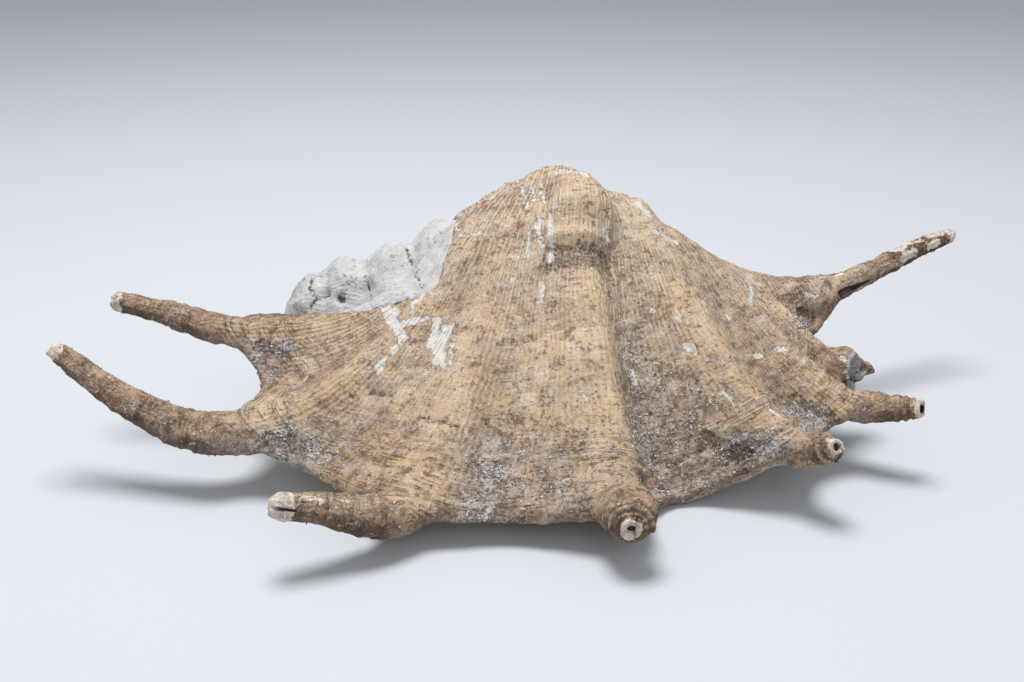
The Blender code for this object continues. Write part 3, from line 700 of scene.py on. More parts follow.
# Grey sand caught on the canal side of the ribs: line, its half width in lines, and where it starts
# and how strong it gets along the rib.
SAND_BANDS = (
    (7.8, 0.42, 0.34, 0.66), (5.6, 0.3, 0.62, 0.9), (3.62, 0.34, 0.76, 1.0), (1.7, 0.3, 0.8, 0.9),
    (9.75, 0.34, 0.72, 0.85), (11.6, 0.4, 0.78, 0.6), (8.3, 0.6, 0.5, 0.55), (6.3, 0.6, 0.6, 0.45),
)
# Each worn tip: its middle, the way that it points, the radius of the white, of the ring and of
# the hole, the depth of the hole, how far the ring stands up and how wrinkled the skin behind is.
TIPS = {
    "first digit": ((-144.3, -12.1, 50.2), (-0.95, -0.25, -0.1), 6.5, 2.6, 1.7, 5.0, 0.3, 0.1),
    "second digit": ((-153.3, -47.9, 47.4), (-0.6, -0.35, 0.7), 5.2, 2.2, 1.1, 6.0, 0.4, 0.2),
    "third digit": ((-70.8, -112.6, 23.9), (-0.95, -0.33, 0.22), 9.0, 2.0, 0.5, 2.5, 0.0, 0.5),
    "fourth digit": ((34.6, -113.9, 16.9), (-0.03, -0.98, -0.08), 3.7, 2.6, 1.4, 8.0, 0.8, 1.0),
    "fifth digit": ((101.0, -83.8, 28.5), (0.45, -0.68, 0.5), 3.5, 2.3, 1.4, 8.0, 0.7, 1.0),
    "sixth digit": ((137.2, -52.9, 26.7), (0.58, -0.77, 0.24), 3.9, 2.6, 1.7, 7.0, 0.7, 1.0),
    "canal": ((177.6, 48.8, 57.2), (0.86, 0.46, 0.22), 6.5, 1.7, 0.9, 5.0, 0.2, 0.2),
}
TIP_WRINKLE = 2.3
TIP_REACH = 13.0
TIP_FLATTENED = 0.7
# How fast the white of a tip ends behind it, how far the painted shade of a hole goes past its wall and
# starts behind its mouth, and how the wrinkles fade in past the white.
WHITE_TAPER = 1.1
HOLE_WIDER = 0.45
HOLE_START = 0.5
WRINKLE_FADE = 1.5
# The hole of the broken digit, and the slits of the third digit and of the canal, as tubes.
BREAK_BORE = (
    (112.0, -21.5, 30.5, 2.6),
    (117.0, -24.4, 29.7, 4.4),
    (121.0, -26.6, 29.2, 6.4),
    (128.0, -30.5, 28.6, 8.8),
)
SLIT_WIDER = 0.15
# The broken digit's shard has skin again from SHARD_FREE_X on, on its side of the hole. Inwards of
# BREAK_DEEP_X the hole gets dark with painted shade.
SHARD_FREE_X = 121.0
SHARD_FADE = 3.0
SHARD_SIDE_Y = 6.0
SHARD_SKIN = 0.6
BREAK_DEEP_X = 120.0
BREAK_FADE = 4.0
BREAK_NEAR = 0.5
BREAK_DARK_MOST = 0.05
SEAM_THIRD = ((-74.5, -115.0, 26.0, 0.55), (-71.0, -115.6, 25.4, 0.7), (-62.0, -113.6, 23.0, 0.4))
SEAM_CANAL = (
    (119.5, 13.4, 40.4, 2.2), (125.0, 15.6, 42.0, 2.5), (131.0, 18.4, 43.8, 1.7), (138.0, 22.0, 45.8, 0.7),
)
SAND_RISE = 0.25
GREY_STRENGTH = 0.9


def inside_of(points, rows):
    """Millimetres inside the nearest of some round strokes, negative outside. Each row has two ends
    and the half width at each."""
    best = np.full(len(points), -FAR)
    for start, end, half, end_half in rows:
        start = np.array(start)
        span = np.array(end) - start
        u = np.clip((points - start) @ span / (span @ span), 0, 1)
        gap = np.linalg.norm(points - start - u[:, None] * span, axis=1)
        best = np.maximum(best, half + (end_half - half) * u - gap)
    return best


def stroke_field(points, strokes):
    rows = [(np.array(a) - TO_FRAME, np.array(b) - TO_FRAME, half, half) for a, b, half in strokes]
    return inside_of(points, rows)


def path_field(points, path):
    return inside_of(points, [(a[:3], b[:3], a[3], b[3]) for a, b in zip(path[:-1], path[1:])])


def about_tip(points, middle, way):
    """A tip's direction, and how far each point is from its middle, ahead of it and out from its line."""
    way = unit(np.array(way))
    offset = points - np.array(middle)
    ahead = offset @ way
    out = np.linalg.norm(offset - ahead[:, None] * way, axis=1)
    return way, np.linalg.norm(offset, axis=1), ahead, out


def wear_of(points, skin):
    """For points in millimetres: a dictionary of fields that say how worn and dirty each one is."""
    pale = stroke_field(points, PALE_STROKES)
    dark = stroke_field(points, DARK_STROKES)
    first, last, top, low = LEDGE_SHADE
    ledge_shade = np.minimum(skin["line"] - first, last - skin["line"]) * skin["spacing"]
    ledge_shade = np.minimum(ledge_shade, np.minimum(skin["place"] - top, low - skin["place"]) * LEDGE_REACH)
    # The painted shade under the knob's overhang goes in with the dark stains.
    dark = np.maximum(dark, np.where((skin["inner"] < 0.5) & (skin["bare"] < 0), ledge_shade, -FAR))
    sand = np.zeros(len(points))
    for line, half, start, strength in SAND_BANDS:
        across = np.exp(-(((skin["line"] - line) / half) ** 2))
        sand = np.maximum(sand, strength * across * ease((skin["place"] - start) / SAND_RISE))
    sand = np.maximum(sand, GREY_STRENGTH * ease(stroke_field(points, GREY_STROKES) / FAR + 0.5))
    sand *= (1 - skin["inner"]) * (skin["bare"] < 0) * (1 - skin["digit"])
    tip = np.full(len(points), -FAR)
    hole = np.full(len(points), -FAR)
    wrinkle = np.zeros(len(points))
    for middle, way, white, _, bore, depth, _, wrinkled in TIPS.values():
        _, from_middle, ahead, out = about_tip(points, middle, way)
        tip = np.maximum(tip, white - np.hypot(out, np.minimum(ahead, 0) * WHITE_TAPER))
        # Painted shade inside each tip's hole, from behind its mouth down to its depth.
        inside = np.minimum(bore + HOLE_WIDER - out, np.minimum(-HOLE_START - ahead, ahead + depth))
        hole = np.maximum(hole, inside)
        near = ease(2 - 2 * from_middle / TIP_REACH) * ease((from_middle - white) / WRINKLE_FADE)
        wrinkle += wrinkled * near * np.cos(2 * math.pi * from_middle / TIP_WRINKLE)
    # The slits get the same painted shade.
    for path in (SEAM_THIRD, SEAM_CANAL):
        hole = np.maximum(hole, path_field(points, path) + SLIT_WIDER)
    broken = path_field(points, BREAK_BORE)
    on_shard = ease((points[:, 0] - SHARD_FREE_X) / SHARD_FADE)
    on_shard = on_shard * (points[:, 1] > BREAK_BORE[-1][1] + SHARD_SIDE_Y)
    broken = np.where(broken > -FAR, broken - SHARD_SKIN * on_shard, broken)
    # Painted shade in the broken digit's hole, a little darker inwards of BREAK_DEEP_X.
    deep_shade = np.where(broken > -BREAK_NEAR, (BREAK_DEEP_X - points[:, 0]) / BREAK_FADE, -FAR)
    hole = np.maximum(hole, np.minimum(deep_shade, BREAK_DARK_MOST))
    crack = stroke_field(points, CRACKS)
    return {
        "pale": pale, "dark": dark, "sand": sand, "tip": tip, "wrinkle": wrinkle,
        "hole": np.clip(hole, -FAR, FAR), "broken": np.clip(broken, -FAR, FAR),
        "crack": np.clip(crack, -FAR, FAR),
    }


# The relief of the dry skin and of the worn spire.
# The skin carries fine spiral cords and growth wrinkles, and stands a little above the chalk where
# it has peeled. The chalk is pitted. This is in the mesh; what is finer is in the material.
TRIANGLES = 186000
CORDS_PER_LINE = 3
CORD_HEIGHT = 0.26
WRINKLE_HEIGHT = 0.5
TIP_REFINED = 0.7
BORE_SIDES = 24
BORE_AHEAD = 4.0
BORE_TAPER = (0.8, 1.0, 1.2)
BORE_SHAKE = 0.3
RAGGED = 0.9
RAGGED_GRAIN = 2.2
# The cords sway with a slow noise, double where they are far apart, and fade at the digits' roots
# and tips. Where each starts, and over how much it comes in.
SLOW_GRAIN = 14.0
CORD_SWAY = 0.05
CORDS_DOUBLE = (7.0, 6.0)
ROOT_FADE = 0.85
TIP_FADE = (4.0, 8.0)
# Growth wrinkles get higher within EDGE_REACH of the lip's edge, and pucker it round one line.
EDGE_REACH = (24.0, 16.0)
PUCKER_LINE = 8.1
PUCKER_HALF = 1.6
PUCKER_FROM = 0.5
# Uneven skin and chalk: height and grain of each noise. The chalk lies lower than the skin.
SKIN_LUMPS = (0.45, 7.0)
SKIN_GRAIN = (0.24, 2.6)
CHALK_LUMPS = (0.6, 9.0)
CHALK_GRAIN = (0.4, 3.2)
CHALK_SUNK = 0.5
# How far each kind of wear sinks the skin or the chalk, or shakes its edge.
CRACK_DEPTH = 0.6
PALE_DEPTH = 0.3
DARK_DEPTH = 0.5
SKIN_END_DEPTH = 0.5
BREAK_RAGGED = 0.5
TIP_RAGGED = 0.5
RING_WIDTH = 0.6
RING_HOLLOW = (1.5, 0.7)
# Forms sharper than the ribs and knobs of the whorl's tables: the knob's flat top and overhang, the
# bumps on the hump, and the ribs' steep canal side. Line, place, height, half line, half place.
LEDGE_LINES = (5.85, 6.1, 7.5, 7.75)
LEDGE_AT = (0.12, 0.22, 0.295, 0.322, 0.36, 0.44)
LEDGE_RISE = (0.0, 1.6, 2.2, -1.3, -1.0, 0.0)
BUMPS = (
    (3.2, -0.02, 1.6, 0.45, 0.05), (6.1, -0.01, 0.7, 0.8, 0.05), (8.2, 0.1, -1.2, 0.35, 0.08),
    (9.0, 0.09, 1.8, 0.45, 0.06), (4.6, 0.1, 0.9, 0.5, 0.12), (10.4, 0.16, 0.8, 0.4, 0.08),
    (8.3, -0.02, -5.0, 0.42, 0.08), (7.15, 0.07, 1.0, 0.35, 0.06),
)
# Along a rib: line, height, half line on each side, and the places where it starts and is full.
EDGES = (
    (6.8, 0.8, 0.5, 0.35, 0.34, 0.5), (7.7, -1.4, 0.42, 0.5, 0.36, 0.55), (4.95, 0.9, 0.4, 0.22, 0.4, 0.6),
    (5.5, -1.9, 0.22, 0.35, 0.5, 0.75), (9.0, 0.8, 0.4, 0.2, 0.4, 0.6), (9.6, -1.5, 0.25, 0.4, 0.55, 0.8),
    (3.0, 0.7, 0.4, 0.2, 0.45, 0.7), (3.5, -1.2, 0.2, 0.3, 0.55, 0.8), (11.4, -0.8, 0.2, 0.3, 0.5, 0.8),
)
# Lumps and hollows of the worn spire: middle in the frame, half width and height.
LUMPS = (
    ((-87.5, 43.0, 48.0), 6.0, 1.8), ((-76.5, 44.0, 53.5), 6.5, 3.0), ((-66.8, 44.0, 57.0), 3.6, -1.8),
    ((-59.0, 44.0, 62.0), 6.5, 1.6), ((-49.5, 44.0, 67.0), 4.0, -0.8), ((-82.0, 37.0, 50.5), 2.2, -1.6),
    ((-81.6, 30.5, 45.9), 2.0, -1.4), ((-76.5, 26.8, 45.3), 1.8, -1.8), ((-86.0, 34.0, 47.0), 4.0, 1.2),
    ((-66.5, 36.0, 55.0), 2.6, -1.4), ((-66.1, 26.9, 48.8), 3.0, -1.2), ((-56.0, 18.0, 56.0), 8.0, 1.0),
    ((-72.5, 32.0, 51.5), 3.6, 1.6), ((-57.0, 34.0, 60.0), 6.0, 1.2), ((-91.0, 33.0, 42.0), 2.5, 0.9),
    ((-77.0, 37.0, 52.0), 4.5, 1.5), ((-70.0, 20.0, 45.5), 3.0, -0.9),
)


def rough(points, size, octaves=3):
    """Fractal noise of a given grain size, about -1 to 1."""
    return np.array([noise.fractal(p, 1.0, 2.0, octaves) for p in (points / size).tolist()])


def along_growth(per_line, length, rise, octaves=3):
    """Noise that is drawn out along the growth lines of the skin that is in work."""
    where = np.column_stack([skin["line"] * per_line, skin["to_edge"] / length, points[:, 2] * rise])
    return rough(where, 1.0, octaves)


work = bmesh.new()
work.from_mesh(shell.data)
tip_middles = [Vector(row[0]) for row in TIPS.values()]
refined = TIP_REACH * TIP_REFINED
close = [e for e in work.edges if any((e.verts[0].co - m).length < refined for m in tip_middles)]
bmesh.ops.subdivide_edges(work, edges=close, cuts=1, use_grid_fill=True)
work.to_mesh(shell.data)
work.free()

points = points_of(shell)
skin = survey_skin(points)
wear = wear_of(points, skin)
outer = (1 - skin["inner"]) * ease(0.5 - skin["bare"])
chalk = ease(skin["bare"] + 0.5)
wander = rough(points, SLOW_GRAIN)
to_tip = np.min([np.linalg.norm(points - np.array(row[0]), axis=1) for row in TIPS.values()], axis=0)
calm = 1 - ROOT_FADE * 4 * skin["digit"] * (1 - skin["digit"])
calm = calm * ease((to_tip - TIP_FADE[0]) / TIP_FADE[1])
cord_line = skin["line"] + CORD_SWAY * wander
close_cords = ease((skin["spacing"] - CORDS_DOUBLE[0]) / CORDS_DOUBLE[1])
cords = np.cos(2 * math.pi * CORDS_PER_LINE * cord_line)
cords = cords * (1 - 0.4 * close_cords) + close_cords * np.cos(4 * math.pi * CORDS_PER_LINE * cord_line)
growth = along_growth(1.6, 3.4, 0.02)
folds = along_growth(0.8, 4.6, 0.01, 2)
near_edge = ease((EDGE_REACH[0] - np.abs(skin["to_edge"])) / EDGE_REACH[1])
puckered = near_edge * ease(PUCKER_HALF - np.abs(skin["line"] - PUCKER_LINE)) * (skin["place"] > PUCKER_FROM)
lift = outer * (
    CORD_HEIGHT * cords * calm * (0.6 + 0.5 * wander) * (1 - 0.75 * close_cords)
    + calm * growth * (0.2 + 0.5 * near_edge + 0.7 * puckered)
    + folds * (0.35 * near_edge + 1.7 * puckered)
    + SKIN_LUMPS[0] * rough(points + 50.0, SKIN_LUMPS[1])
    + SKIN_GRAIN[0] * rough(points + 90.0, SKIN_GRAIN[1])
)
off_digit = outer * (1 - skin["digit"])
across = ease(np.interp(skin["line"], LEDGE_LINES, (0, 1, 1, 0)))
lift += off_digit * across * np.interp(skin["place"], LEDGE_AT, LEDGE_RISE)
for centre, place, height, half, length in BUMPS:
    away = ((skin["line"] - centre) / half) ** 2 + ((skin["place"] - place) / length) ** 2
    lift += off_digit * height * np.exp(-away)
for centre, height, left, right, start, full in EDGES:
    width = np.where(skin["line"] < centre, left, right)
    along = ease((skin["place"] - start) / (full - start)) * ease((1.06 - skin["place"]) / 0.14)
    lift += off_digit * height * along * np.exp(-(((skin["line"] - centre) / width) ** 2))
for middle, half, height in LUMPS:
    away = np.linalg.norm(points - (np.array(middle) - TO_FRAME), axis=1) / half
    lift += chalk * height * np.exp(-away**2)
pitted = CHALK_LUMPS[0] * rough(points, CHALK_LUMPS[1])
pitted = pitted + CHALK_GRAIN[0] * rough(points + 30.0, CHALK_GRAIN[1])
lift += chalk * (pitted - CHALK_SUNK)
lift -= chalk * CRACK_DEPTH * ease(wear["crack"] / 0.5 + 0.8)
lift -= outer * PALE_DEPTH * ease(wear["pale"] / 0.6 + 0.4)
lift -= off_digit * DARK_DEPTH * ease(wear["dark"] / 0.5 + 0.3) * (wear["dark"] > -1)
lift -= SKIN_END_DEPTH * np.exp(-((skin["bare"] / 0.7) ** 2)) * (skin["inner"] < 0.5)
ragged = rough(points + 20.0, RAGGED_GRAIN)
lift += BREAK_RAGGED * ragged * ease((wear["broken"] + 3.5) / 2.5)
worn_off = np.zeros_like(points)
for middle, way, white, ring, _, _, rim, _ in TIPS.values():
    way, from_middle, ahead, out = about_tip(points, middle, way)
    near_tip = from_middle < TIP_REACH
    face = near_tip * ease((ahead + white * 0.8) / 1.5) * ease(2.5 - out / white)
    lift += face * rim * np.exp(-(((out - ring) / RING_WIDTH) ** 2))
    lift -= face * rim * RING_HOLLOW[1] * np.exp(-(((out - ring - RING_HOLLOW[0]) / RING_WIDTH) ** 2))
    lift += face * TIP_RAGGED * ragged
    worn_off += way * np.where(near_tip, np.maximum(ahead + 0.3, 0.0) * TIP_FLATTENED, 0.0)[:, None]
lift += WRINKLE_HEIGHT * wear["wrinkle"] * (0.7 + 0.4 * ragged)
lifted = normals_of(shell) * lift[:, None] - worn_off
moved = points + lifted
put_points(shell, moved)

modify(shell, "DECIMATE", ratio=TRIANGLES / (2 * len(shell.data.polygons)))
keep_largest_body(shell)
bores = [tube("bore", path, BORE_SIDES) for path in (BREAK_BORE, SEAM_THIRD, SEAM_CANAL)]
for middle, way, _, _, bore, depth, _, _ in TIPS.values():
    way = unit(np.array(way))
    start = np.array(middle) - way * depth
    end = np.array(middle) + way * BORE_AHEAD
    stations = zip((start, (start + end) / 2, end), BORE_TAPER)
    bores.append(tube("bore", [(*place, bore * share) for place, share in stations], BORE_SIDES))
cutter = joined(bores, "openings")
cutter_points = points_of(cutter)
size = ease(path_field(cutter_points, BREAK_BORE) + 1.0)
shake = np.column_stack([rough(cutter_points + shift, 2.6) for shift in (0.0, 40.0, 80.0)])
put_points(cutter, cutter_points + shake * (BORE_SHAKE + RAGGED * size)[:, None])
modify(shell, "BOOLEAN", operation="DIFFERENCE", solver="EXACT", object=cutter)
bpy.data.objects.remove(cutter)

points = points_of(shell)
before_relief = points - lifted[nearest(moved, points)[0]]
skin = survey_skin(before_relief)
wear = wear_of(before_relief, skin)
points = points + TO_FRAME
points[:, 2] = np.maximum(points[:, 2], 0.0)
put_points(shell, points * MM)
shell.data.shade_smooth()
for name, values in {**skin, **wear}.items():
    field = shell.data.attributes.new(name, "FLOAT", "POINT")
    field.data.foreach_set("value", np.ascontiguousarray(values, dtype=np.float32))

# What the shell is covered with.
# A dry brown skin of horny fibre over chalky shell, grey where sand has stuck, white where it has
# flaked, and glossy cream inside. The groups are the effects that more than one finish uses.


def srgb(red, green, blue):
    """A colour as read off a screen, 0 to 255, in the linear numbers that shaders take."""
    linear = [c / 255 / 12.92 if c < 10.3 else ((c / 255 + 0.055) / 1.055) ** 2.4 for c in (red, green, blue)]
    return (*[round(c, 4) for c in linear], 1.0)


class Value:
    """What a socket puts out. Adding, subtracting or multiplying it places the math node for that."""

    def __init__(self, socket):
        self.socket = socket

    def __add__(self, other):
        return maths("ADD", self, other)

    def __sub__(self, other):
        return maths("SUBTRACT", self, other)

    def __rsub__(self, other):
        return maths("SUBTRACT", other, self)

    def __mul__(self, other):
        return maths("MULTIPLY", self, other)

    def __abs__(self):
        return maths("ABSOLUTE", self)


def place_node(kind, values=(), **settings):
    """A node in the tree that is being built, with its settings and what goes into its sockets."""
    node = tree.nodes.new(kind)
    for name, value in settings.items():
        setattr(node, name, value)
    for socket, value in dict(values).items():
        if isinstance(value, Value):
            tree.links.new(value.socket, node.inputs[socket])
        else:
            node.inputs[socket].default_value = value
    return node


def result_of(kind, values=(), output=0, **settings):
    return Value(place_node(kind, values, **settings).outputs[output])


def maths(operation, first, second=0.0):
    return result_of("ShaderNodeMath", {0: first, 1: second}, operation=operation)


def share_of(value, low, high, start=0.0, end=1.0):
    """How far value is on the way from low to high, eased, as a number from start to end."""
    values = {"Value": value, "From Min": low, "From Max": high, "To Min": start, "To Max": end}
    return result_of("ShaderNodeMapRange", values, interpolation_type="SMOOTHSTEP")


def blended(share, below, above):
    """Two colours, the second over the first as far as share says."""
    return result_of("ShaderNodeMix", {0: share, 6: below, 7: above}, output=2, data_type="RGBA")


def place_on_shell():
    return result_of("ShaderNodeTexCoord", output="Object")


def noise_at(where, scale, detail=4.0, roughness=0.6, distortion=0.0):
    values = {"Vector": where, "Scale": scale, "Detail": detail, "Roughness": roughness}
    return result_of("ShaderNodeTexNoise", {**values, "Distortion": distortion})


def cloud(grain_mm, *texture):
    """Noise with grains of a given size, at the place that the tree being built calls where."""
    return noise_at(where, 1 / (grain_mm * MM), *texture)


def field_of(name):
    return result_of("ShaderNodeAttribute", output="Fac", attribute_name=name)


def new_group(name, **inputs):
    """Starts a shader group. It gives the group and its inputs, numbers or, as tuples, colours."""
    group = bpy.data.node_groups.new(name, "ShaderNodeTree")
    for label, start in inputs.items():
        kind = "NodeSocketColor" if isinstance(start, tuple) else "NodeSocketFloat"
        group.interface.new_socket(label, in_out="INPUT", socket_type=kind).default_value = start
    source = group.nodes.new("NodeGroupInput")
    return group, {label: Value(source.outputs[label]) for label in inputs}


def put_out(**outputs):
    """Ends the group that is being built. All that it puts out are numbers, but for Colour."""
    for label in outputs:
        kind = "NodeSocketColor" if label == "Colour" else "NodeSocketFloat"
        tree.interface.new_socket(label, in_out="OUTPUT", socket_type=kind)
    place_node("NodeGroupOutput", outputs)


# A ragged edge: a field in millimetres becomes a mask whose edge wanders by Wander.
tree, ins = new_group("ragged_edge", Field=0.0, Wander=0.6, Grain=400.0)
ragged_edge = tree
where = place_on_shell()
tear = (noise_at(where, ins["Grain"], 5.0, 0.65) - 0.5) * ins["Wander"] * 4.0
put_out(Mask=share_of(ins["Field"] + tear, -0.12, 0.18))

# Fine spiral cords, doubled where the lines run apart so that they stay about as close. Each set
# has its cords to a line, and the spacings over which it comes up and goes down again.
CORD_SETS = ((3, 0.0, 1.0, 8.0, 13.0), (6, 5.0, 9.0, 15.0, 22.0), (12, 9.0, 15.0, 30.0, 40.0))
tree, ins = new_group("spiral_cords", Line=0.0, Spacing=9.0)
spiral_cords = tree
where = place_on_shell()
bent = ins["Line"] + (cloud(9.0, 2.0) - 0.5) * 0.12
waves = []
for per_line, start, full, leave, gone in CORD_SETS:
    wave = maths("COSINE", bent * (2 * math.pi * per_line)) * 0.5
    waves.append(wave * share_of(ins["Spacing"], start, full) * share_of(ins["Spacing"], gone, leave, 0.2))
total = sum(waves[1:], waves[0]) * share_of(cloud(2.4, 4.0), 0.3, 0.62, 0.25)
put_out(Height=total, Groove=share_of(total, 0.1, -0.6))

# Mottling in three sizes between a pale and a dark colour.
tree, ins = new_group("mottling", Pale=(0.8, 0.8, 0.8, 1.0), Dark=(0.2, 0.2, 0.2, 1.0), Darkness=0.0)
mottling = tree
where = place_on_shell()
value = cloud(17.0, 3.0, 0.55, 0.4) * 0.6 + cloud(4.2, 4.0, 0.65, 0.6) * 0.7 + cloud(0.8, 5.0, 0.85) * 1.4
put_out(Colour=blended(share_of(value + ins["Darkness"], 1.02, 1.66), ins["Pale"], ins["Dark"]))

# Specks: small uneven grains in patches, more of them where Cover is high.
tree, ins = new_group("specks", Cover=0.2, Grain=1200.0, Patch=160.0)
specks = tree
where = place_on_shell()
patchy = (noise_at(where, ins["Patch"], 3.0) - 0.5) * 0.7
chance = noise_at(where, ins["Grain"], 2.0) + patchy + ins["Cover"] * 0.4
put_out(Mask=share_of(chance, 0.64, 0.71))


def effect(group, *values):
    """Uses a group, with values for its inputs in their order."""
    return place_node("ShaderNodeGroup", dict(enumerate(values)), node_tree=group)


def mottled(pale, dark, darkness=0.0):
    return Value(effect(mottling, pale, dark, darkness).outputs[0])


def torn(field, wander, grain):
    return Value(effect(ragged_edge, field, wander, grain).outputs[0])


def speckled(cover, grain, patch):
    return Value(effect(specks, cover, grain, patch).outputs[0])


def new_material(name):
    """Starts a material. It gives the material and its surface."""
    material = bpy.data.materials.new(name)
    material.use_nodes = True
    return material, material.node_tree.nodes["Principled BSDF"]


SKIN_PALE = srgb(230, 210, 185)
SKIN_DARK = srgb(138, 112, 94)
SKIN_GREY = srgb(184, 166, 155)
CREST_OCHRE = srgb(216, 182, 140)
GROOVE_BROWN = srgb(106, 84, 70)
DIGIT_PALE = srgb(200, 171, 144)
DIGIT_DARK = srgb(88, 68, 56)
SAND_PALE = srgb(208, 208, 208)
SAND_GREY = srgb(204, 194, 186)
SAND_DARK = srgb(112, 101, 94)
FLAKED_WHITE = srgb(228, 226, 220)
TIP_CREAM = srgb(232, 218, 204)
CHALK_PALE = srgb(200, 200, 200)
CHALK_DARK = srgb(160, 156, 154)
CHALK_CREAM = srgb(214, 200, 176)
STAIN_AND_SHADE = srgb(62, 52, 48)
CREAM = srgb(240, 214, 184)
CREAM_DEEP = srgb(222, 176, 140)
BREAK_GREY = srgb(206, 204, 204)
BREAK_DARK = srgb(150, 148, 148)
HOLE_SHADE = srgb(58, 46, 44)

dry_skin, surface = new_material("dry_skin_over_chalky_shell")
tree = dry_skin.node_tree
where = place_on_shell()
line, to_edge, place, spacing = (field_of(name) for name in ("line", "to_edge", "place", "spacing"))
digit, inner, crest, sand = (field_of(name) for name in ("digit", "inner", "crest", "sand"))
bare_field, broken = field_of("bare"), field_of("broken")
cord_height, cord_groove = (Value(socket) for socket in effect(spiral_cords, line, spacing).outputs)
# Where a digit's lines run into the lip's they would cross, so there they fade.
calm = 1.0 - digit * (1.0 - digit) * 3.6

# Growth lines run along the lip's edge; streaks run along the cords and the digits.
growth_at = result_of("ShaderNodeCombineXYZ", {0: line * 0.9, 1: to_edge * 0.42})
growth = noise_at(growth_at, 1.0, 5.0, 0.6, 0.5)
streak_at = result_of("ShaderNodeCombineXYZ", {0: line * 9.0, 1: to_edge * 0.11})
streak = noise_at(streak_at, 1.0, 4.0, 0.65)

# The skin: ochre in patches and on the crests, where it is also lighter as a painted highlight, grey in
# patches, brown in the grooves, darker towards the lip's edge, and pale on the cords of the hump as a painted
# highlight.
darkness = (streak - 0.5) * 0.2 * calm + (growth - 0.5) * 0.45 * calm
# Darker towards the lip's edge, and lighter on the rib crests as a painted highlight.
darkness = darkness + share_of(place, 0.4, 1.0, 0.03, 0.18) + crest * -0.03
colour = mottled(SKIN_PALE, SKIN_DARK, darkness)
# Ochre in patches, with more of it on the rib crests as a painted highlight.
ochre_and_crest_highlight = share_of(cloud(7.0, 5.0, 0.65) + crest * 0.03, 0.46, 0.74, 0.0, 0.6)
colour = blended(ochre_and_crest_highlight, colour, CREST_OCHRE)
colour = blended(share_of(cloud(13.0, 5.0, 0.65), 0.5, 0.68, 0.0, 0.5), colour, SKIN_GREY)
groove = cord_groove * calm * share_of(cloud(2.4), 0.4, 0.6, 0.1, 0.55)
colour = blended(groove * share_of(spacing, 7.0, 13.0, 1.0, 0.4), colour, GROOVE_BROWN)
# Painted highlight: the cord crests on the upper hump are paler.
cord_crest_highlight = share_of(cord_height, 0.08, 0.5) * share_of(place, 0.55, 0.3, 0.1, 0.55)
colour = blended(cord_crest_highlight * calm, colour, SKIN_PALE)

# Dark creases follow the growth lines, near the lip's edge and round the digits.
crease = share_of(abs(growth - 0.5), 0.035, 0.008) * share_of(to_edge, 36.0, 14.0)
crease = crease * share_of(cloud(5.0, 3.0), 0.42, 0.6)
colour = blended(crease * 0.65, colour, GROOVE_BROWN)

# The digits are darker, with dark streaks along them, and darkest on their downward faces, with dirt and
# painted shade there.
normal = result_of("ShaderNodeTexCoord", output="Normal")
facing_up = result_of("ShaderNodeSeparateXYZ", {0: normal}, output="Z")
# The digits' downward faces are darker: partly dirt, partly painted shade.
underside_dirt_and_shade = share_of(facing_up, 0.35, -0.35) * digit
digit_colour = mottled(DIGIT_PALE, DIGIT_DARK, (streak - 0.5) * 0.7 + underside_dirt_and_shade * 0.3)
colour = blended(digit * 0.85, colour, digit_colour)

# Sand in the valleys, grey with pale and dark grains.
sandy = share_of(sand + (cloud(3.6, 6.0, 0.8) - 0.5) * 1.8, 0.12, 1.0)
sand_colour = mottled(SAND_GREY, SAND_DARK, (cloud(1.3, 4.0, 0.8) - 0.5) * 1.4)
colour = blended(sandy * 0.8, colour, sand_colour)
loose = speckled(sand * 0.45 + digit * 0.12 - 0.13, 1000.0, 170.0)
colour = blended(loose * 0.75, colour, SAND_PALE)

# Dirt: fine on all the skin; darker between the wrinkles behind the tips; dark stains, which also carry the
# painted shade under the knob's overhang.
dirt = speckled(sand * 0.2 + 0.12, 760.0, 240.0)
colour = blended(dirt * 0.6, colour, GROOVE_BROWN)
between_wrinkles = share_of(field_of("wrinkle"), 0.1, -0.8) * share_of(cloud(2.0), 0.35, 0.6, 0.3, 0.8)
colour = blended(between_wrinkles, colour, GROOVE_BROWN)
stain_and_ledge_shade = torn(field_of("dark"), 2.4, 520.0) * share_of(cloud(0.9, 3.0, 0.7), 0.35, 0.65, 0.2, 0.85)
colour = blended(stain_and_ledge_shade, colour, STAIN_AND_SHADE)

# Where the skin has flaked away, and a pale line along the rim between the fourth and fifth digits.
flaked = torn(field_of("pale"), 1.5, 420.0) * share_of(cord_groove * cloud(3.0), 0.5, 0.3, 0.25, 1.0)
thin_film = share_of(cloud(0.8), 0.3, 0.5, 0.65, 0.95)
colour = blended(flaked * thin_film, colour, blended(digit, FLAKED_WHITE, TIP_CREAM))
at_rim = field_of("rim") * share_of(cloud(2.0), 0.35, 0.6, 0.2, 0.8) * share_of(abs(line - 8.2), 1.1, 0.6)
colour = blended(at_rim, colour, SAND_PALE)

# The chalky spire, with dark specks, a few cracks and a dark hairline at the skin's edge.
bare = torn(bare_field, 0.45, 300.0)
chalk = mottled(CHALK_PALE, CHALK_DARK, -0.2)
chalk = blended(share_of(cloud(8.0, 4.0), 0.55, 0.68, 0.0, 0.7), chalk, CHALK_CREAM)
chalk = blended(speckled(0.02, 800.0, 110.0) * 0.65, chalk, SAND_DARK)
crack = torn(field_of("crack"), 1.0, 900.0)
chalk = blended(crack * 0.8, chalk, STAIN_AND_SHADE)
colour = blended(bare, colour, chalk)
hairline = share_of(abs(bare_field - 0.1), 0.5, 0.2)
hairline = hairline * (share_of(cloud(3.0), 0.42, 0.55) * share_of(inner, 0.5, 0.2))
colour = blended(hairline * 0.8, colour, STAIN_AND_SHADE)

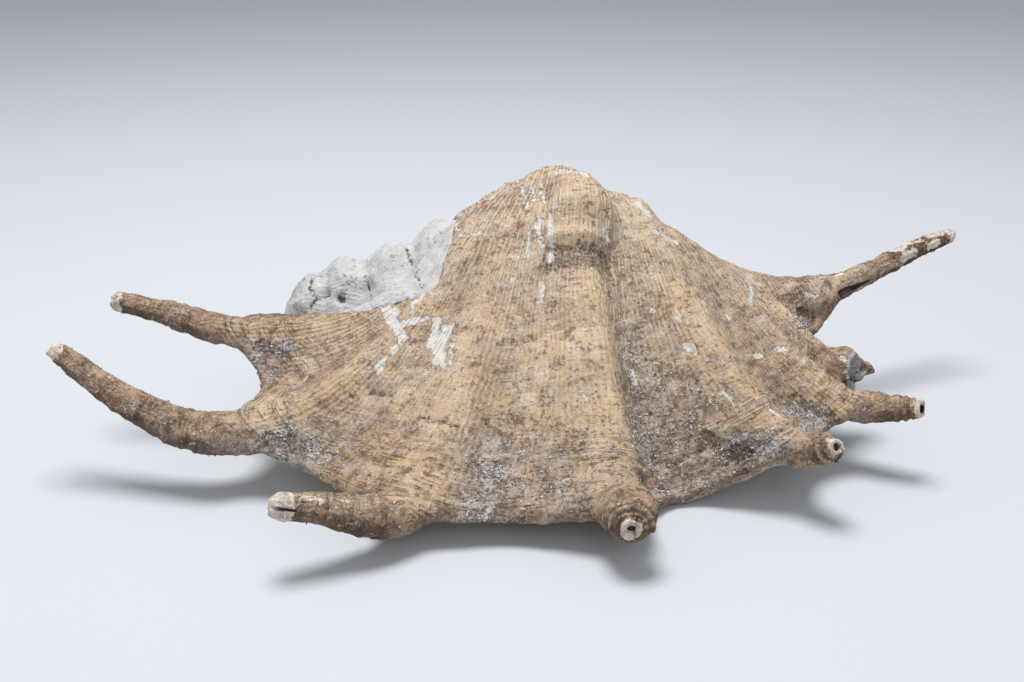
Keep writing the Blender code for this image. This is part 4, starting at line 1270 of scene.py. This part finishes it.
# Glossy cream inside, worn tips, the grey inside of the broken digit and painted shade in the holes.
inside = share_of(inner, 0.4, 0.6)
colour = blended(inside, colour, mottled(CREAM, CREAM_DEEP, -0.3))
white_tip = torn(field_of("tip"), 2.6, 300.0) * share_of(cloud(1.4, 4.0), 0.3, 0.6, 0.6, 0.95)
colour = blended(white_tip, colour, TIP_CREAM)
colour = blended(torn(broken + 0.5, 1.4, 420.0) * 0.8, colour, FLAKED_WHITE)
colour = blended(share_of(broken, -0.9, -0.2), colour, mottled(BREAK_GREY, BREAK_DARK))
colour = blended(share_of(field_of("hole"), -0.1, 0.35), colour, HOLE_SHADE)

# What is finer than the mesh: cords, growth lines, grain and creases on the skin, pits on the chalk.
height = cord_height * calm * 0.4 * share_of(digit, 1.0, 0.0, 0.5, 1.0)
height = height + growth * calm * 0.8 + cloud(1.0, 5.0, 0.75) * 0.85
height = height + loose * 0.2 + crease * -0.5 + dirt * -0.15 + flaked * -0.25
height = height * share_of(bare, 0.0, 1.0, 1.0, 0.3)
height = height + (cloud(1.4, 6.0, 0.7) * 0.7 + crack * -0.5) * bare
height = height * share_of(inside, 0.0, 1.0, 1.0, 0.06)

dull = share_of(cloud(2.0), 0.3, 0.7, 0.72, 0.95)
RESULTS = {
    "Base Color": colour,
    "Roughness": result_of("ShaderNodeMix", {0: inside, 2: dull, 3: 0.3}, data_type="FLOAT"),
    "Normal": result_of("ShaderNodeBump", {"Height": height, "Strength": 1.0, "Distance": MM}),
}
for socket, value in RESULTS.items():
    tree.links.new(value.socket, surface.inputs[socket])
surface.inputs["Specular IOR Level"].default_value = 0.3
shell.data.materials.clear()
shell.data.materials.append(dry_skin)
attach(shell, "root")
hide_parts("shell")

# Sand and grit in the valleys.
# Grains of coral sand that dried on beside the ribs, each a small rough lump stuck to the skin.
# They are one mesh, scattered with a fixed seed where the sand field is strongest.
GRAINS = 3200
GRAIN_SIZE = (0.16, 0.42)
GRAIN_SUNK = 0.3
GRAIN_ROUGHNESS = 0.35
GRAIN_STRETCH = (0.6, 1.3)
GRAIN_PATCH = 5.0
SCATTER_SEED = 7

shell.data.calc_loop_triangles()
corner = np.empty(len(shell.data.loop_triangles) * 3, dtype=np.int64)
shell.data.loop_triangles.foreach_get("vertices", corner)
corner = corner.reshape(-1, 3)
corner_points = points[corner]
face_normal = np.cross(corner_points[:, 1] - corner_points[:, 0], corner_points[:, 2] - corner_points[:, 0])
face_area = np.linalg.norm(face_normal, axis=1) / 2
face_normal = unit(face_normal)
on_skin = skin["inner"][corner].max(1) < 0.2
bareness = skin["bare"][corner].max(1)


def scatter(chance, count):
    """Places on the shell, chosen in proportion to chance: points and normals."""
    weight = np.cumsum(chance * face_area)
    picks = np.searchsorted(weight, chooser.random(count) * weight[-1])
    u, v = chooser.random(count), chooser.random(count)
    over = u + v > 1
    u, v = np.where(over, 1 - u, u), np.where(over, 1 - v, v)
    a, b, c = (corner_points[picks, i] for i in range(3))
    return a + (b - a) * u[:, None] + (c - a) * v[:, None], face_normal[picks]


def mesh_above_floor(name, spots, faces):
    """A mesh from millimetres, with what would go through the floor pressed flat on it."""
    spots[:, 2] = np.maximum(spots[:, 2], 0.0)
    return new_object(name, spots * MM, faces)


chooser = np.random.default_rng(SCATTER_SEED)
patchy = np.array([noise.noise(p) for p in (corner_points.mean(1) / GRAIN_PATCH).tolist()])
sand_chance = wear["sand"][corner].mean(1) ** 1.5 * np.clip(patchy + 0.15, 0, 1) + 0.002
sand_chance *= on_skin * (bareness < 0)
sand_chance *= face_normal[:, 2] > -0.1
spots, ways = scatter(sand_chance, GRAINS)
lump = bmesh.new()
bmesh.ops.create_icosphere(lump, subdivisions=1, radius=1.0)
lump_points = np.array([v.co[:] for v in lump.verts])
lump_faces = np.array([[v.index for v in f.verts] for f in lump.faces])
lump.free()
grain_points, grain_faces, grain_shade = [], [], []
for i in range(GRAINS):
    size = GRAIN_SIZE[0] + (GRAIN_SIZE[1] - GRAIN_SIZE[0]) * chooser.random() ** 2
    shape = lump_points * (1 + GRAIN_ROUGHNESS * chooser.normal(size=(len(lump_points), 1)))
    shape = shape * chooser.uniform(*GRAIN_STRETCH, 3)
    grain_points.append(shape * size + spots[i] + ways[i] * size * (1 - GRAIN_SUNK) * 0.5)
    grain_faces.append(lump_faces + i * len(lump_points))
    grain_shade += [chooser.random()] * len(lump_points)
grains = mesh_above_floor("sand_grains", np.concatenate(grain_points), np.concatenate(grain_faces).tolist())
grains.data.attributes.new("shade", "FLOAT", "POINT").data.foreach_set("value", grain_shade)
coral_sand, surface = new_material("coral_sand")
tree = coral_sand.node_tree
grain_colour = mottled(SAND_PALE, SAND_DARK, (field_of("shade") - 0.5) * 0.9)
tree.links.new(grain_colour.socket, surface.inputs["Base Color"])
surface.inputs["Roughness"].default_value = 0.8
grains.data.materials.append(coral_sand)
grains.data.shade_smooth()
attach(grains, "root")
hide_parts("shell")

# Curled flakes of the dry skin.
# Along the digits and beside the bare patches the skin has split and its edges have curled up.
# Each flake is a thin bent plate, stuck down at one end.
FLAKES = 380
FLAKE_LENGTH = (0.9, 2.2)
FLAKE_WIDTH = (0.3, 0.6)
FLAKE_CURL = (0.15, 0.6)
FLAKE_SKEW = 0.12
FLAKE_THICK = 0.12
FLAKE_SUNK = 0.1
FLAKE_STEPS = 4

at_patch = np.exp(-(wear["pale"][corner].mean(1) + 0.3) ** 2)
flake_chance = 0.05 + skin["digit"][corner].mean(1) * 0.5 + at_patch * 0.8
flake_chance *= on_skin * (bareness < 0.3)
flake_chance *= (wear["tip"][corner].max(1) < 0) * (wear["hole"][corner].max(1) < -1)
spots, ways = scatter(flake_chance, FLAKES)
flake_points, flake_faces = [], []
for spot, way in zip(spots, ways):
    length = chooser.uniform(*FLAKE_LENGTH)
    width = length * chooser.uniform(*FLAKE_WIDTH)
    ahead = unit(np.cross(way, chooser.normal(size=3)))
    across = np.cross(way, ahead)
    curl = chooser.uniform(*FLAKE_CURL)
    base = len(flake_points)
    for step in range(FLAKE_STEPS + 1):
        u = step / FLAKE_STEPS
        middle = spot + ahead * length * (u - 0.3) + way * (length * curl * 0.45 * u * u - FLAKE_SUNK)
        half = across * width * (1 - 0.55 * u * u) / 2
        skew = ahead * chooser.uniform(-FLAKE_SKEW, FLAKE_SKEW) * length
        for up in (0.0, FLAKE_THICK):
            flake_points += [middle - half + skew + way * up, middle + half - skew + way * up]
    for low in range(base, base + FLAKE_STEPS * 4, 4):
        for a, b in ((0, 1), (3, 2), (2, 0), (1, 3)):
            flake_faces.append((low + a, low + b, low + b + 4, low + a + 4))
    end = base + FLAKE_STEPS * 4
    flake_faces += [(base, base + 2, base + 3, base + 1), (end, end + 1, end + 3, end + 2)]
flakes = mesh_above_floor("skin_flakes", np.array(flake_points), flake_faces)
curled_skin, surface = new_material("curled_dry_skin")
tree = curled_skin.node_tree
flake_colour = mottled(DIGIT_PALE, SKIN_DARK, 0.1)
tree.links.new(flake_colour.socket, surface.inputs["Base Color"])
surface.inputs["Roughness"].default_value = 0.85
flakes.data.materials.append(curled_skin)
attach(flakes, "root")
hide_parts("shell")

# The floor.
# A plain pale studio surface, wide enough to fill the view behind the shell.
FLOOR_HALF = 6.0
FLOOR_COLOUR = (0.52, 0.54, 0.57, 1.0)
floor_mesh = bpy.data.meshes.new("floor")
floor_corners = [(x * FLOOR_HALF, y * FLOOR_HALF, 0) for x, y in ((-1, -1), (1, -1), (1, 1), (-1, 1))]
floor_mesh.from_pydata(floor_corners, [], [(0, 1, 2, 3)])
floor = linked("floor", floor_mesh)
pale_board, surface = new_material("pale_board")
surface.inputs["Base Color"].default_value = FLOOR_COLOUR
surface.inputs["Roughness"].default_value = 0.9
floor_mesh.materials.append(pale_board)

# The light and the camera.
# One large soft light above and behind, a weak one in front, and a pale surround. The camera
# looks down at the shell's front by 22 degrees, from where the photograph was taken.
SURROUND_COLOUR = (0.93, 0.96, 1.0, 1.0)
SURROUND_STRENGTH = 0.52
LIT_POINT = Vector((0, 0, 0.04))
CAMERA_PLACE = (-0.01198, -0.39085, 0.19721)
CAMERA_TILT = 68.0
world = bpy.data.worlds.new("pale_surround")
bpy.context.scene.world = world
world.use_nodes = True
background = world.node_tree.nodes["Background"]
background.inputs["Color"].default_value = SURROUND_COLOUR
background.inputs["Strength"].default_value = SURROUND_STRENGTH


def soft_light(name, place, size, power):
    data = bpy.data.lights.new(name, "AREA")
    data.shape = "DISK"
    data.size = size
    data.energy = power
    light = linked(name, data)
    light.location = place
    light.rotation_euler = (LIT_POINT - Vector(place)).to_track_quat("-Z", "Y").to_euler()


soft_light("key_above", (-0.11, 0.06, 1.14), 0.5, 13.5)
soft_light("weak_front", (0.2, -1.3, 0.9), 1.0, 3.5)

camera = linked("camera", bpy.data.cameras.new("camera"))
camera.data.lens = 42.01
camera.data.sensor_width = 36.0
camera.data.clip_end = 50.0
camera.location = CAMERA_PLACE
camera.rotation_euler = (math.radians(CAMERA_TILT), 0.0, 0.0)
bpy.context.scene.camera = camera
bpy.context.scene.view_settings.view_transform = "Standard"
